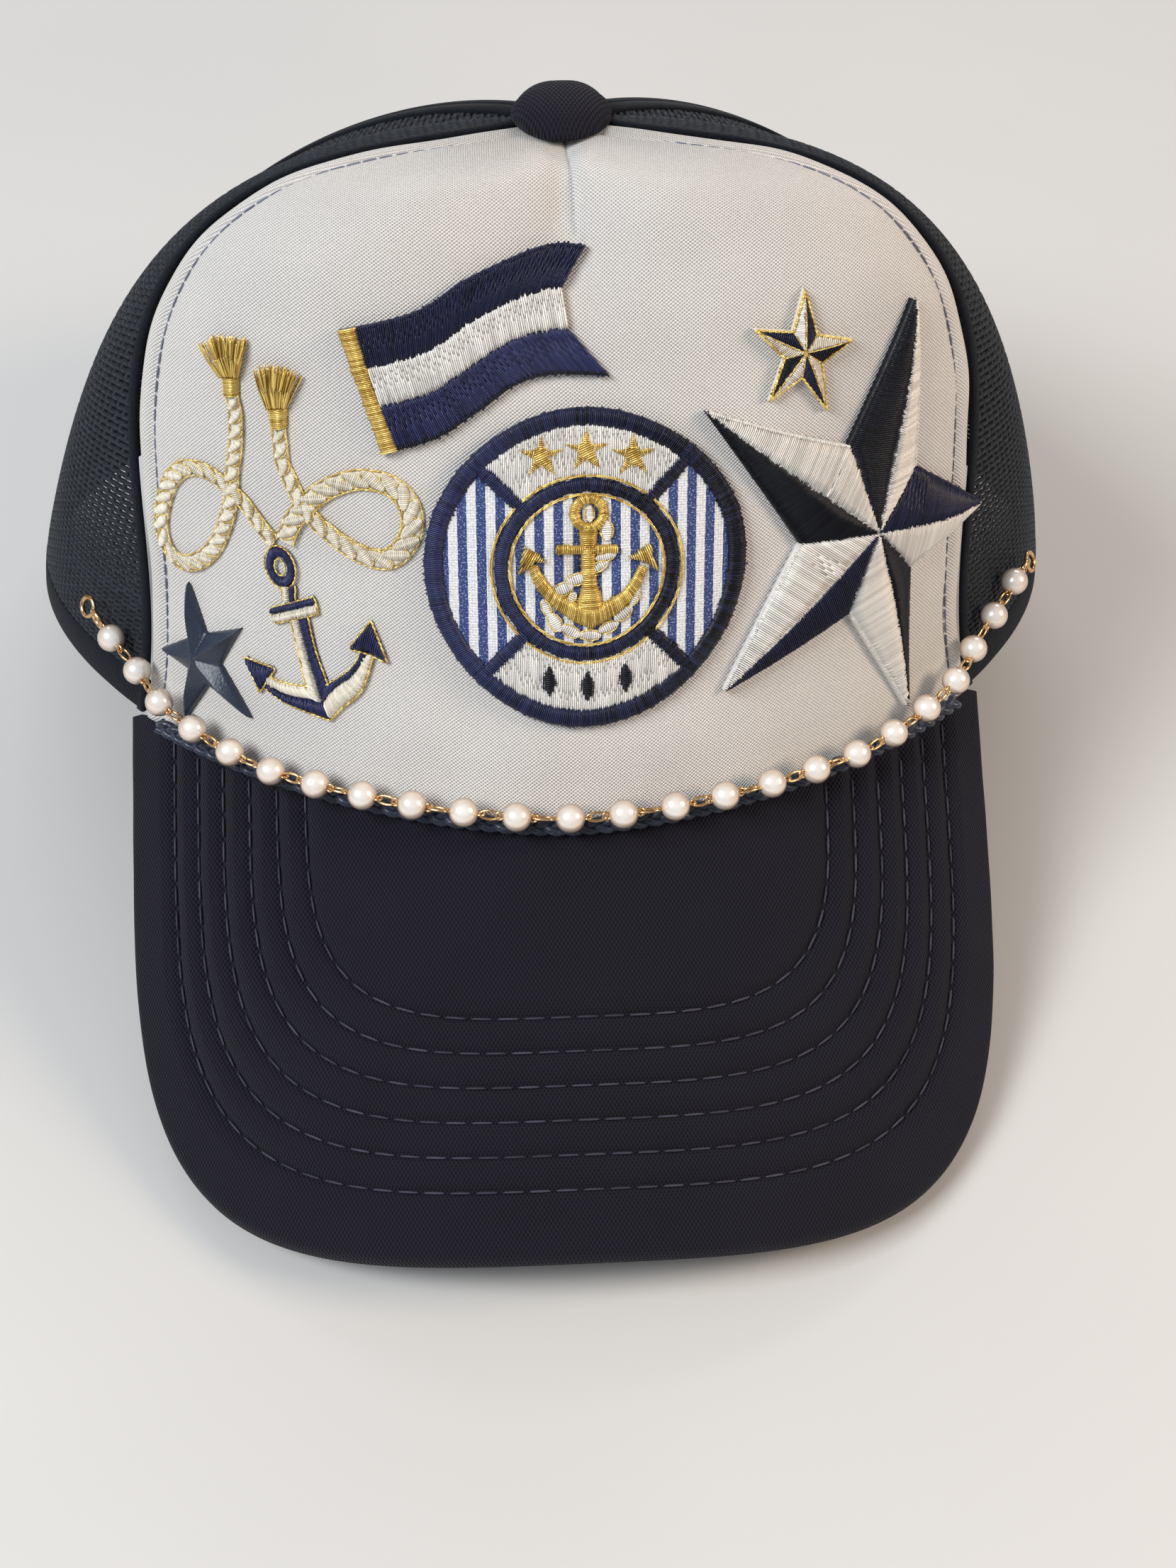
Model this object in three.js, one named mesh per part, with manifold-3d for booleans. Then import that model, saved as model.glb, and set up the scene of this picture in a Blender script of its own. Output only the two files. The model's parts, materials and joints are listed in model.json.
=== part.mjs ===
// A five-panel trucker hat: foam front panel, mesh sides and back, padded curved brim,
// snap strap, covered button, six embroidered patches, a braid and a chain of pearls.
// Millimetres, +Z up, the wearer faces -Y. The hat rests on its brim corners and its back edge.
import * as THREE from 'three';
import Module from 'manifold-3d';
import { mergeVertices } from 'three/addons/utils/BufferGeometryUtils.js';

const wasm = await Module();
wasm.setup();

// Driving dimensions
const GAP = 0.3;
const RIM = { halfWidth: 100.7, front: 102, back: 92.3, frontPower: 1.82, backPower: 2.15, backFrom: 57 };
const BRIM = {
  seamHeight: 53.3, slope: 32, archRadius: 113.5, halfArc: 86.7, length: 71.8,
  cornerPower: 3.5, straightFrom: -36, straightTo: -9.5, thickness: 4.6,
  firstRow: 11.9, rowPitch: 5.64, rows: 6, grooveDepth: 0.6, edgeRound: 3, shortest: 2.5,
};
const CROWN = {
  top: 145.4, topX: 1.2, topY: -32.5,
  frontPower: 9.9, sidePower: 1.6, backPower: 1.28,
  frontLean: 0.765, sideLean: -0.037, sideBulge: -0.036, backBulge: 0.17, backTuck: 0.3,
  foam: 2.5, mesh: 1.2, skirt: 5, skirtFrom: 58, skirtTo: 82,
};
const SEAMS = { frontLow: 49.9, frontSwell: 8.3, frontTop: 3.3, sideToBack: 115, back: 180 };
const DART = { from: 94, to: 101, depth: 1.5, halfWidth: 2.2 };
const BUTTON = { radius: 8, height: 4.8, hole: 4 };
const ARCH = { halfAngle: 29, height: 0.46 };
const STRAP = { halfAngle: 36, width: 14, thickness: 1.8 };
const BRAID = { diameter: 3, reach: 46, out: 1.9, up: 0.7, drift: 0.3 };
const PEARLS = {
  count: 24, diameter: 5, pitch: 8.88, firstAngle: -54.8,
  frontOut: 5.2, sideOut: 2.9, sideFrom: 44, sideOver: 8,
  frontUp: 3.3, sideUp: 14.5, riseFrom: 30, riseOver: 30, risePower: 1.6,
  routeFrom: -66, routeTo: 66, routeSteps: 240,
};
const LINK = { wire: 0.28, radius: 0.95, stretch: 1.05 };
const CLASP = { radius: 1.7, wire: 0.45 };

const RAD = Math.PI / 180;
const V = (x, y, z) => new THREE.Vector3(x, y, z);
const clamp = (x) => Math.min(1, Math.max(0, x));
const smooth = (x) => clamp(x) ** 2 * (3 - 2 * clamp(x));
const lerp = (a, b, t) => a + (b - a) * t;
const steps = (n, from = 0, to = 1) => Array.from({ length: n + 1 }, (_, i) => lerp(from, to, i / n));

// The brim's top: a sheet bent round a cylinder that slopes down towards the front.
// u runs across along the bend, v runs forward from the middle of the seam.
function brimPoint(u, v) {
  const bend = u / BRIM.archRadius;
  const drop = BRIM.archRadius * (1 - Math.cos(bend));
  const s = Math.sin(BRIM.slope * RAD);
  const c = Math.cos(BRIM.slope * RAD);
  return V(BRIM.archRadius * Math.sin(bend), -RIM.front - v * c + drop * s,
    BRIM.seamHeight - v * s - drop * c);
}

// Height of that same sheet over a plan position.
function brimHeight(x, y) {
  const r = BRIM.archRadius;
  const drop = r - Math.sqrt(Math.max(r * r - x * x, 1));
  const s = Math.sin(BRIM.slope * RAD);
  const c = Math.cos(BRIM.slope * RAD);
  const v = (-RIM.front + drop * s - y) / c;
  return BRIM.seamHeight - v * s - drop * c;
}

// The rim where the crown begins, as a plan oval. Angle 0 is the front and 180 the back.
function rimPlan(theta) {
  const s = Math.sin(theta);
  const c = Math.cos(theta);
  const power = 2 / (c > 0 ? RIM.frontPower : RIM.backPower);
  const depth = c > 0 ? -RIM.front : RIM.back;
  return [RIM.halfWidth * Math.sign(s) * Math.abs(s) ** power, depth * Math.abs(c) ** power];
}

function rimPoint(theta) {
  const [x, y] = rimPlan(theta);
  const from = RIM.backFrom * RAD;
  if (Math.abs(theta) <= from) return V(x, y, brimHeight(x, y));
  const [xs, ys] = rimPlan(from);
  return V(x, y, brimHeight(xs, ys) * (1 - clamp((y - ys) / (RIM.back - ys))));
}

// The crown's outer skin. rise runs from 0 at the rim to a quarter turn at the top button.
function crownPoint(theta, rise) {
  const rim = rimPoint(theta);
  const side = Math.sin(theta) ** 2;
  const front = Math.cos(theta) > 0 ? 1 - side : 0;
  const back = Math.cos(theta) > 0 ? 0 : 1 - side;
  const power = CROWN.frontPower * front + CROWN.sidePower * side + CROWN.backPower * back;
  const lean = CROWN.frontLean * front + CROWN.sideLean * side;
  const bulge = CROWN.sideBulge * side + CROWN.backBulge * back;
  const size = (Math.cos(rise) ** power + Math.sin(rise) ** power) ** (1 / power);
  const w = Math.sin(rise) / size;
  const tuck = CROWN.backTuck * back * w * (1 - w) ** 2;
  const h = Math.cos(rise) / size * (1 - lean * w + bulge * 4 * w * (1 - w) + tuck);
  return V(lerp(CROWN.topX, rim.x, h), lerp(CROWN.topY, rim.y, h), lerp(rim.z, CROWN.top, w));
}

function crownNormal(theta, rise) {
  const e = 1e-4;
  const r = Math.min(Math.max(rise, e), Math.PI / 2 - 0.02);
  const across = crownPoint(theta + e, r).sub(crownPoint(theta - e, r));
  const up = crownPoint(theta, r + e).sub(crownPoint(theta, r - e));
  return across.cross(up).normalize();
}

function crownOut(theta, rise, out) {
  return crownPoint(theta, rise).addScaledVector(crownNormal(theta, rise), out);
}

function lengthTable(points) {
  const lengths = [0];
  for (let i = 1; i < points.length; i += 1) {
    lengths.push(lengths[i - 1] + points[i].distanceTo(points[i - 1]));
  }
  return lengths;
}

function lookUp(value, lengths, from, to) {
  const last = lengths.length - 1;
  let i = 0;
  while (i < last - 1 && lengths[i + 1] < value) i += 1;
  const t = (value - lengths[i]) / (lengths[i + 1] - lengths[i]);
  return lerp(from, to, (i + t) / last);
}

// A place on the crown by tape measure: mm up the centre line from the brim seam,
// then mm across, positive to +X, then mm out from the skin.
const CENTRE = lengthTable(steps(90, 0, Math.PI / 2).map((r) => crownPoint(0, r)));
const levels = new Map();
function tapePoint(across, up, out) {
  const key = up.toFixed(3);
  if (!levels.has(key)) {
    const rise = lookUp(up, CENTRE, 0, Math.PI / 2);
    const row = (side) => lengthTable(steps(50, 0, side * 1.4).map((t) => crownPoint(t, rise)));
    levels.set(key, { rise, left: row(-1), right: row(1) });
  }
  const { rise, left, right } = levels.get(key);
  const side = Math.sign(across) || 1;
  const theta = side * lookUp(Math.abs(across), side > 0 ? right : left, 0, 1.4);
  return crownOut(theta, rise, out);
}

// Closed solids from rows of points
function solidFrom(points, faces) {
  const geometry = new THREE.BufferGeometry();
  const numbers = points.flatMap((p) => [p.x, p.y, p.z]);
  geometry.setAttribute('position', new THREE.Float32BufferAttribute(numbers, 3));
  geometry.setIndex(faces.flat());
  const merged = mergeVertices(geometry, 1e-3);
  const index = Array.from(merged.index.array);
  const kept = [];
  for (let i = 0; i < index.length; i += 3) {
    const [a, b, c] = index.slice(i, i + 3);
    if (a !== b && b !== c && c !== a) kept.push(a, b, c);
  }
  const at = (i) => V().fromBufferAttribute(merged.attributes.position, i);
  let volume = 0;
  for (let i = 0; i < kept.length; i += 3) {
    volume += at(kept[i]).dot(at(kept[i + 1]).cross(at(kept[i + 2])));
  }
  merged.setIndex(volume < 0 ? kept.reverse() : kept);
  return merged;
}

// Two matching sheets of points, joined round their edges. wrap joins first and last column.
function sheetSolid(outer, inner, wrap = false) {
  const rows = outer.length;
  const cols = outer[0].length;
  const total = rows * cols;
  const at = (sheet, r, c) => sheet * total + r * cols + (c % cols);
  const faces = [];
  const quad = (a, b, c, d) => faces.push([a, b, c], [a, c, d]);
  for (let r = 0; r < rows - 1; r += 1) {
    for (let c = 0; c < (wrap ? cols : cols - 1); c += 1) {
      quad(at(0, r, c), at(0, r, c + 1), at(0, r + 1, c + 1), at(0, r + 1, c));
      quad(at(1, r, c), at(1, r + 1, c), at(1, r + 1, c + 1), at(1, r, c + 1));
    }
  }
  for (let c = 0; c < (wrap ? cols : cols - 1); c += 1) {
    quad(at(0, 0, c), at(1, 0, c), at(1, 0, c + 1), at(0, 0, c + 1));
    quad(at(0, rows - 1, c), at(0, rows - 1, c + 1), at(1, rows - 1, c + 1), at(1, rows - 1, c));
  }
  if (!wrap) {
    for (let r = 0; r < rows - 1; r += 1) {
      quad(at(0, r, 0), at(0, r + 1, 0), at(1, r + 1, 0), at(1, r, 0));
      quad(at(0, r, cols - 1), at(1, r, cols - 1), at(1, r + 1, cols - 1), at(0, r + 1, cols - 1));
    }
  }
  return solidFrom([...outer.flat(), ...inner.flat()], faces);
}

function toManifold(geometry) {
  const plain = geometry.clone();
  plain.deleteAttribute('normal');
  plain.deleteAttribute('uv');
  const merged = mergeVertices(plain, 1e-4);
  return new wasm.Manifold(new wasm.Mesh({
    numProp: 3,
    vertProperties: new Float32Array(merged.attributes.position.array),
    triVerts: new Uint32Array(merged.index.array),
  }));
}

function fuse(geometries) {
  const mesh = geometries.map(toManifold).reduce((a, b) => a.add(b)).getMesh();
  const geometry = new THREE.BufferGeometry();
  geometry.setAttribute('position', new THREE.BufferAttribute(new Float32Array(mesh.vertProperties), 3));
  geometry.setIndex(Array.from(mesh.triVerts));
  return geometry;
}

// Crown panels
const frontSeam = (rise) => (SEAMS.frontLow + SEAMS.frontSwell * Math.sin(2 * rise) ** 2
  + SEAMS.frontTop * Math.sin(rise)) * RAD;
const seamGap = (theta, rise) => {
  const width = crownPoint(theta + 0.01, rise).distanceTo(crownPoint(theta - 0.01, rise)) / 0.02;
  return GAP / 2 / Math.max(width, 1);
};

// rise where the plan distance from the top button is the given radius.
function riseAtRadius(theta, radius) {
  let low = 0;
  let high = Math.PI / 2;
  for (let i = 0; i < 40; i += 1) {
    const mid = (low + high) / 2;
    const p = crownPoint(theta, mid);
    if (Math.hypot(p.x - CROWN.topX, p.y - CROWN.topY) > radius) low = mid;
    else high = mid;
  }
  return low;
}

const skirtDepth = (theta) => CROWN.skirt
  * (1 - smooth((Math.abs(theta) / RAD - CROWN.skirtFrom) / (CROWN.skirtTo - CROWN.skirtFrom)));

function dartDepth(theta, rise) {
  const across = crownPoint(theta, rise).x - crownPoint(0, rise).x;
  const fade = smooth((centreUp(rise) - DART.from) / (DART.to - DART.from));
  return DART.depth * fade * Math.exp(-((across / DART.halfWidth) ** 2));
}

function centreUp(rise) {
  const i = Math.min(rise / (Math.PI / 2), 1) * (CENTRE.length - 1);
  const low = Math.min(Math.floor(i), CENTRE.length - 2);
  return lerp(CENTRE[low], CENTRE[low + 1], i - low);
}

// A panel between two seams. from and to give the seam angle at a rise, low the lowest rise.
// mirrored turns the order of the columns, so that a left and a right panel fold alike.
const SHOULDER_RISE = 0.6;
function crownPanel({
  from, to, low = () => 0, columns, thickness, dart = false, skirt = true, mirrored = false,
}) {
  const across = mirrored ? [...columns].reverse() : columns;
  const sheet = (depth) => panelRows.map((row) => across.map((column) => {
    const guess = lerp(from(SHOULDER_RISE), to(SHOULDER_RISE), column);
    const highest = riseAtRadius(guess, BUTTON.hole);
    const rise = Math.max(lerp(low(lerp(from(0), to(0), column)), highest, Math.max(row, 0)), 0);
    const inset = (angle, sign) => angle(rise) + sign * seamGap(angle(rise), rise);
    const theta = lerp(inset(from, 1), inset(to, -1), column);
    const press = dart ? dartDepth(theta, rise) : 0;
    const p = crownOut(theta, rise, -depth - press);
    if (row < 0 && skirt) p.z -= skirtDepth(theta);
    return p;
  }));
  return sheetSolid(sheet(0), sheet(thickness));
}

// All panels share these rows, from the skirt below the rim to the button, closest at the shoulder.
const panelRows = [-0.001, ...steps(3, 0, 0.34), ...steps(4, 0.44, 0.64), ...steps(3, 0.72, 1)];

function frontPanel() {
  const half = [0.025, 0.09, 0.19, 0.3, 0.4, 0.5];
  const columns = [...half.map((c) => 0.5 - c).reverse(), 0.5, ...half.map((c) => 0.5 + c)];
  return crownPanel({
    from: (r) => -frontSeam(r), to: frontSeam, columns, thickness: CROWN.foam, dart: true,
  });
}

function sideMesh(side) {
  const backSeam = () => SEAMS.sideToBack * RAD;
  const edges = side > 0 ? [frontSeam, backSeam] : [() => -backSeam(), (r) => -frontSeam(r)];
  return crownPanel({ from: edges[0], to: edges[1], columns: steps(6), thickness: CROWN.mesh });
}

// The arch over the snap strap is cut from the lower back corners of the two back panels.
function backMesh(side) {
  const archRise = (theta) => {
    const x = (SEAMS.back - Math.abs(theta) / RAD) / ARCH.halfAngle;
    return x < 1 ? ARCH.height * Math.sqrt(1 - x * x) : 0;
  };
  const whole = SEAMS.back - SEAMS.sideToBack;
  const beside = steps(2, 0, 1 - ARCH.halfAngle / whole);
  const over = [20, 38, 55, 72, 90].map((a) => 1 - ARCH.halfAngle / whole * Math.cos(a * RAD));
  const near = [...beside, ...over];
  const columns = side > 0 ? near : near.map((c) => 1 - c).reverse();
  const low = SEAMS.sideToBack * RAD;
  const high = SEAMS.back * RAD;
  const edges = side > 0 ? [() => low, () => high] : [() => -high, () => -low];
  return crownPanel({
    from: edges[0], to: edges[1], low: archRise, columns,
    thickness: CROWN.mesh, skirt: false, mirrored: side > 0,
  });
}

// The brim is a padded sheet whose rows of stitching sink into it.
function brim() {
  const rowAt = steps(BRIM.rows - 1, BRIM.firstRow, BRIM.firstRow + BRIM.rowPitch * (BRIM.rows - 1));
  const betweenRows = rowAt.slice(1).map((d) => d - BRIM.rowPitch / 2);
  const lastRow = rowAt[BRIM.rows - 1];
  const insets = [0, 0.8, BRIM.edgeRound, ...rowAt, ...betweenRows, lastRow + 3,
    ...steps(2, lastRow + 14, BRIM.length + 3)].sort((a, b) => a - b);
  const straight = steps(3, BRIM.straightFrom, BRIM.straightTo).slice(0, -1);
  const turn = steps(16, 0, Math.PI);
  const place = (column, inset) => {
    const a = BRIM.halfArc - inset;
    const b = BRIM.length - BRIM.straightTo - inset;
    if (column.back !== undefined) return [column.side * Math.max(a, 0), column.back];
    const c = Math.cos(column.turn);
    const s = Math.sin(column.turn);
    const power = BRIM.cornerPower;
    const size = (Math.abs(c) ** power + Math.abs(s) ** power) ** (1 / power);
    return [-Math.max(a, 0) * c / size, BRIM.straightTo + Math.max(b, 0) * s / size];
  };
  const columns = [
    ...straight.map((back) => ({ side: -1, back })),
    ...turn.map((t) => ({ turn: t })),
    ...straight.map((back) => ({ side: 1, back })).reverse(),
  ];
  const clear = (column, inset) => {
    const p = brimPoint(...place(column, inset));
    if (p.y > 0) return false;
    const x = Math.abs(p.x) / (RIM.halfWidth + GAP);
    const y = Math.abs(p.y) / (RIM.front + GAP);
    return x ** RIM.frontPower + y ** RIM.frontPower > 1;
  };
  const reach = (column) => {
    let low = 0;
    let high = BRIM.length + 6;
    if (!clear(column, low)) return 0;
    for (let i = 0; i < 40; i += 1) {
      const mid = (low + high) / 2;
      if (clear(column, mid)) low = mid;
      else high = mid;
    }
    return low;
  };
  const sunk = (inset) => {
    const groove = rowAt.includes(inset) ? BRIM.grooveDepth : 0;
    const edge = clamp(1 - inset / BRIM.edgeRound);
    return groove + BRIM.thickness / 2 * edge ** 3;
  };
  const used = columns.map((column) => ({ ...column, reach: reach(column) }))
    .filter((column) => column.reach > BRIM.shortest);
  const sheet = (side) => insets.map((inset) => used.map((column) => {
    const at = Math.min(inset, column.reach);
    const [u, v] = place(column, at);
    const p = brimPoint(u, v);
    const upright = Math.cos(BRIM.slope * RAD) * Math.cos(u / BRIM.archRadius);
    p.z -= (side === 'top' ? sunk(at) : BRIM.thickness - sunk(at)) / upright;
    return p;
  }));
  return sheetSolid(sheet('top'), sheet('under'));
}

// Small parts of the crown
function button() {
  const rings = [0.02, 0.45, 0.8, 1];
  const around = steps(12, 0, 2 * Math.PI).slice(0, -1);
  const sheet = (dome) => rings.map((r) => around.map((a) => {
    const radius = r * BUTTON.radius;
    const theta = a > Math.PI ? a - 2 * Math.PI : a;
    const p = crownPoint(theta, riseAtRadius(theta, Math.max(radius, 0.2)));
    p.z = lerp(CROWN.top, p.z, r) + GAP + (dome ? BUTTON.height * Math.sqrt(1.02 - r * r) : 0);
    return p;
  }));
  return sheetSolid(sheet(true), sheet(false), true);
}

function snapStrap() {
  const angles = steps(12, (180 - STRAP.halfAngle) * RAD, (180 + STRAP.halfAngle) * RAD);
  const sheet = (out) => [0, STRAP.width].map((z) => angles.map((angle) => {
    const theta = angle > Math.PI ? angle - 2 * Math.PI : angle;
    const foot = rimPoint(theta);
    const n = crownNormal(theta, 0.02).setZ(0).normalize();
    const back = crownPoint(theta, 0.3);
    const lean = clamp(z / Math.max(back.z - foot.z, 1));
    return V(lerp(foot.x, back.x, lean), lerp(foot.y, back.y, lean), Math.max(z, 0)).addScaledVector(n, -out);
  }));
  const near = CROWN.mesh + 2 * GAP;
  return sheetSolid(sheet(near), sheet(near + STRAP.thickness));
}

// A path that follows the brim seam at a distance out from the crown's skin and up from the rim.
function seamPath(theta, out, up) {
  let low = 0;
  let high = 0.6;
  const foot = crownPoint(theta, 0);
  for (let i = 0; i < 30; i += 1) {
    const mid = (low + high) / 2;
    if (crownPoint(theta, mid).distanceTo(foot) < up) low = mid;
    else high = mid;
  }
  return crownOut(theta, low, out);
}

function ropeBraid() {
  const path = new THREE.CatmullRomCurve3(steps(26, -BRAID.reach, BRAID.reach).map((angle) => {
    const far = (Math.abs(angle) / BRAID.reach) ** 2;
    return seamPath(angle * RAD, BRAID.out + BRAID.drift * far, BRAID.up + 2 * BRAID.drift * far);
  }));
  const section = new THREE.Shape(steps(8, 0, 2 * Math.PI).slice(0, -1).map((a) => new THREE.Vector2(
    BRAID.diameter / 2 * Math.cos(a), BRAID.diameter / 2 * Math.sin(a),
  )));
  const tube = new THREE.ExtrudeGeometry(section, { extrudePath: path, steps: 24, curveSegments: 1 });
  return fuse([tube]);
}

// The pearl chain hangs in front of the braid and climbs the sides to its two clasps.
function chainPoint(angle) {
  const far = clamp((Math.abs(angle) - PEARLS.riseFrom) / PEARLS.riseOver);
  const side = smooth((Math.abs(angle) - PEARLS.sideFrom) / PEARLS.sideOver);
  return seamPath(angle * RAD, lerp(PEARLS.frontOut, PEARLS.sideOut, side),
    PEARLS.frontUp + PEARLS.sideUp * far ** PEARLS.risePower);
}

const chainLengths = lengthTable(steps(PEARLS.routeSteps, PEARLS.routeFrom, PEARLS.routeTo).map(chainPoint));
function alongChain(length) {
  const angle = lookUp(length, chainLengths, PEARLS.routeFrom, PEARLS.routeTo);
  const at = chainPoint(angle);
  const ahead = chainPoint(angle + 0.5).sub(chainPoint(angle - 0.5)).normalize();
  return { at, ahead, out: crownNormal(angle * RAD, 0.1) };
}
const firstStep = (PEARLS.firstAngle - PEARLS.routeFrom) / (PEARLS.routeTo - PEARLS.routeFrom);
const firstPearl = chainLengths[Math.round(PEARLS.routeSteps * firstStep)];
const pearlLength = (index) => firstPearl + index * PEARLS.pitch;

// A wire loop lying flat on the crown, drawn out along the chain.
function wireLoop({ at, ahead, out }, radius, wire, stretch) {
  const loop = new THREE.TorusGeometry(radius, wire, 5, 10);
  const position = loop.attributes.position;
  for (let i = 0; i < position.count; i += 1) {
    const x = position.getX(i);
    position.setX(i, x + Math.sign(Math.round(x * 1e3)) * stretch);
  }
  const up = out.clone().cross(ahead).normalize();
  loop.applyMatrix4(new THREE.Matrix4().makeBasis(ahead, up, ahead.clone().cross(up)).setPosition(at));
  return loop;
}

function pearlChain() {
  const pearls = steps(PEARLS.count - 1, 0, PEARLS.count - 1).map((i) => {
    const { at } = alongChain(pearlLength(i));
    const ball = new THREE.SphereGeometry(PEARLS.diameter / 2, 10, 5);
    return ball.rotateX(Math.PI / 2).translate(at.x, at.y, at.z);
  });
  const links = steps(PEARLS.count - 2, 0, PEARLS.count - 2).map((i) => (
    wireLoop(alongChain(pearlLength(i + 0.5)), LINK.radius, LINK.wire, LINK.stretch)));
  return fuse([...pearls, ...links]);
}

function clasp(side) {
  const end = side < 0 ? 0 : PEARLS.count - 1;
  const start = pearlLength(end) + side * (PEARLS.diameter / 2 + GAP);
  const reach = CLASP.radius + CLASP.wire;
  const near = alongChain(start + side * reach);
  const far = alongChain(start + side * (3 * reach - 2 * CLASP.wire));
  return fuse([near, far].map((place) => wireLoop(place, CLASP.radius, CLASP.wire, 0.01)));
}

// Patches lie on the crown by tape measure, columns: across, up
function patchSheet(cells, bottom = GAP) {
  const sheet = (lift) => cells.map((row) => row.map(([across, up, height]) => (
    tapePoint(across, up, lift ? bottom + height : bottom))));
  return [sheet(true), sheet(false)];
}

// A shape seen from its middle: outline points, with one height for each ring.
function starPatch(middle, outline, rings, bottom = GAP) {
  const cells = rings.map(([reach, height]) => outline.map(([across, up, ridge = 0]) => [
    lerp(middle[0], across, reach), lerp(middle[1], up, reach), height * (1 + ridge * (1 - reach)),
  ]));
  const [top, under] = patchSheet(cells, bottom);
  return sheetSolid(top, under, true);
}

function starOutline(middle, tips, waist, cuts, ridge) {
  const offset = (i) => [tips[i % 5][0] - middle[0], tips[i % 5][1] - middle[1]];
  const corners = tips.flatMap((tip, i) => {
    const [a, b] = [offset(i), offset(i + 1)];
    return [[...tip, ridge], [middle[0] + waist * (a[0] + b[0]), middle[1] + waist * (a[1] + b[1]), -ridge]];
  });
  return corners.flatMap((corner, i) => {
    const next = corners[(i + 1) % corners.length];
    return steps(cuts).slice(0, -1).map((t) => corner.map((value, k) => lerp(value, next[k], t)));
  });
}

const STARS = {
  large: {
    middle: [53.4, 43.5], waist: 0.24, cuts: 2, bottom: 0.65,
    tips: [[58.6, 88.5], [81.4, 39.1], [66.1, 5.6], [26.1, 20.4], [22, 69.9]],
    rings: [[0.02, 2.6], [0.3, 2.1], [0.55, 1.7], [0.78, 1.4], [1, 1]],
  },
  gold: {
    middle: [37.9, 80.2], waist: 0.24, cuts: 1,
    tips: [[37.8, 92.5], [46.2, 81.7], [42.3, 68.5], [32.4, 71.4], [29.7, 84.7]],
    rings: [[0.02, 1.6], [0.5, 1.4], [1, 1]],
  },
  navy: {
    middle: [-68.1, 18.4], waist: 0.22, cuts: 1,
    tips: [[-69.2, 32.1], [-58.3, 26.6], [-58.2, 9.8], [-73.5, 5.2], [-78.2, 16.3]],
    rings: [[0.02, 2.4], [0.5, 1.7], [1, 0.9]],
  },
};

function starFor({ middle, tips, waist, cuts, rings, bottom }) {
  return starPatch(middle, starOutline(middle, tips, waist, cuts, 0.35), rings, bottom);
}

const BADGE = { middle: [2.9, 44.3], radius: 26.2, border: 2.9, disc: 15, ring: 2.1, bottom: 0.45 };
function badge() {
  const outline = steps(20, 0, 2 * Math.PI).slice(0, -1).map((a) => [
    BADGE.middle[0] + BADGE.radius * Math.sin(a), BADGE.middle[1] + BADGE.radius * Math.cos(a),
  ]);
  const part = (mm) => mm / BADGE.radius;
  const rings = [[0.02, 1.1], [part(BADGE.disc - BADGE.ring), 1.1], [part(BADGE.disc - BADGE.ring / 2), 1.6],
    [part(BADGE.disc), 1.1], [part(BADGE.radius - BADGE.border), 1.1], [1, 1.4]];
  return starPatch(BADGE.middle, outline, rings, BADGE.bottom);
}

// The flag waves between two edge curves, with a notch in its fly end. Columns: across, up
const FLAG = {
  upper: [[-36, 86.4], [-23.8, 89], [-16.2, 93.3], [-5.6, 95.7], [3.3, 95.6]],
  lower: [[-29.6, 63.6], [-20.7, 66.3], [-14.1, 70.5], [-5.9, 75.2], [6.7, 75.5]],
  notch: 0.19, hoist: 0.07, thickness: 1.2,
};
const curveThrough = (points) => new THREE.SplineCurve(points.map(([x, y]) => new THREE.Vector2(x, y)));
function flag() {
  const upper = curveThrough(FLAG.upper);
  const lower = curveThrough(FLAG.lower);
  const cells = steps(4).map((v) => [0, FLAG.hoist, ...steps(8, 0.16, 1)].map((u) => {
    const end = 1 - FLAG.notch * (1 - Math.abs(2 * v - 1));
    const a = lower.getPoint(u * end);
    const b = upper.getPoint(u * end);
    return [lerp(a.x, b.x, v), lerp(a.y, b.y, v), FLAG.thickness + (u <= FLAG.hoist ? 0.4 : 0)];
  }));
  return sheetSolid(...patchSheet(cells));
}

// A raised cord or bar laid along a curve on the crown. Columns: across, up
function cordBand(points, halfWidths, height, cuts, bottom = GAP) {
  const curve = curveThrough(points);
  const sheet = steps(cuts).map((t) => {
    const { x, y } = curve.getPoint(t);
    const ahead = curve.getTangent(t);
    const i = t * (halfWidths.length - 1);
    const low = Math.min(Math.floor(i), Math.max(halfWidths.length - 2, 0));
    const half = lerp(halfWidths[low], halfWidths[low + 1] ?? halfWidths[low], i - low);
    return [[-1, 0.4], [0, 1], [1, 0.4]].map(([k, lift]) => [
      x - ahead.y * half * k, y + ahead.x * half * k, height * lift,
    ]);
  });
  return sheetSolid(...patchSheet(sheet, bottom));
}

function oval([across, up], [halfWidth, halfHeight], half, height, bottom = GAP) {
  const around = steps(10, 0, 2 * Math.PI).slice(0, -1);
  const rings = [[-1, 0.5], [0, 1], [1, 0.5]].map(([k, lift]) => around.map((a) => [
    across + (halfWidth + k * half) * Math.sin(a), up + (halfHeight + k * half) * Math.cos(a), height * lift,
  ]));
  const [top, under] = patchSheet(rings, bottom);
  return sheetSolid(top, under, true);
}

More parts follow.
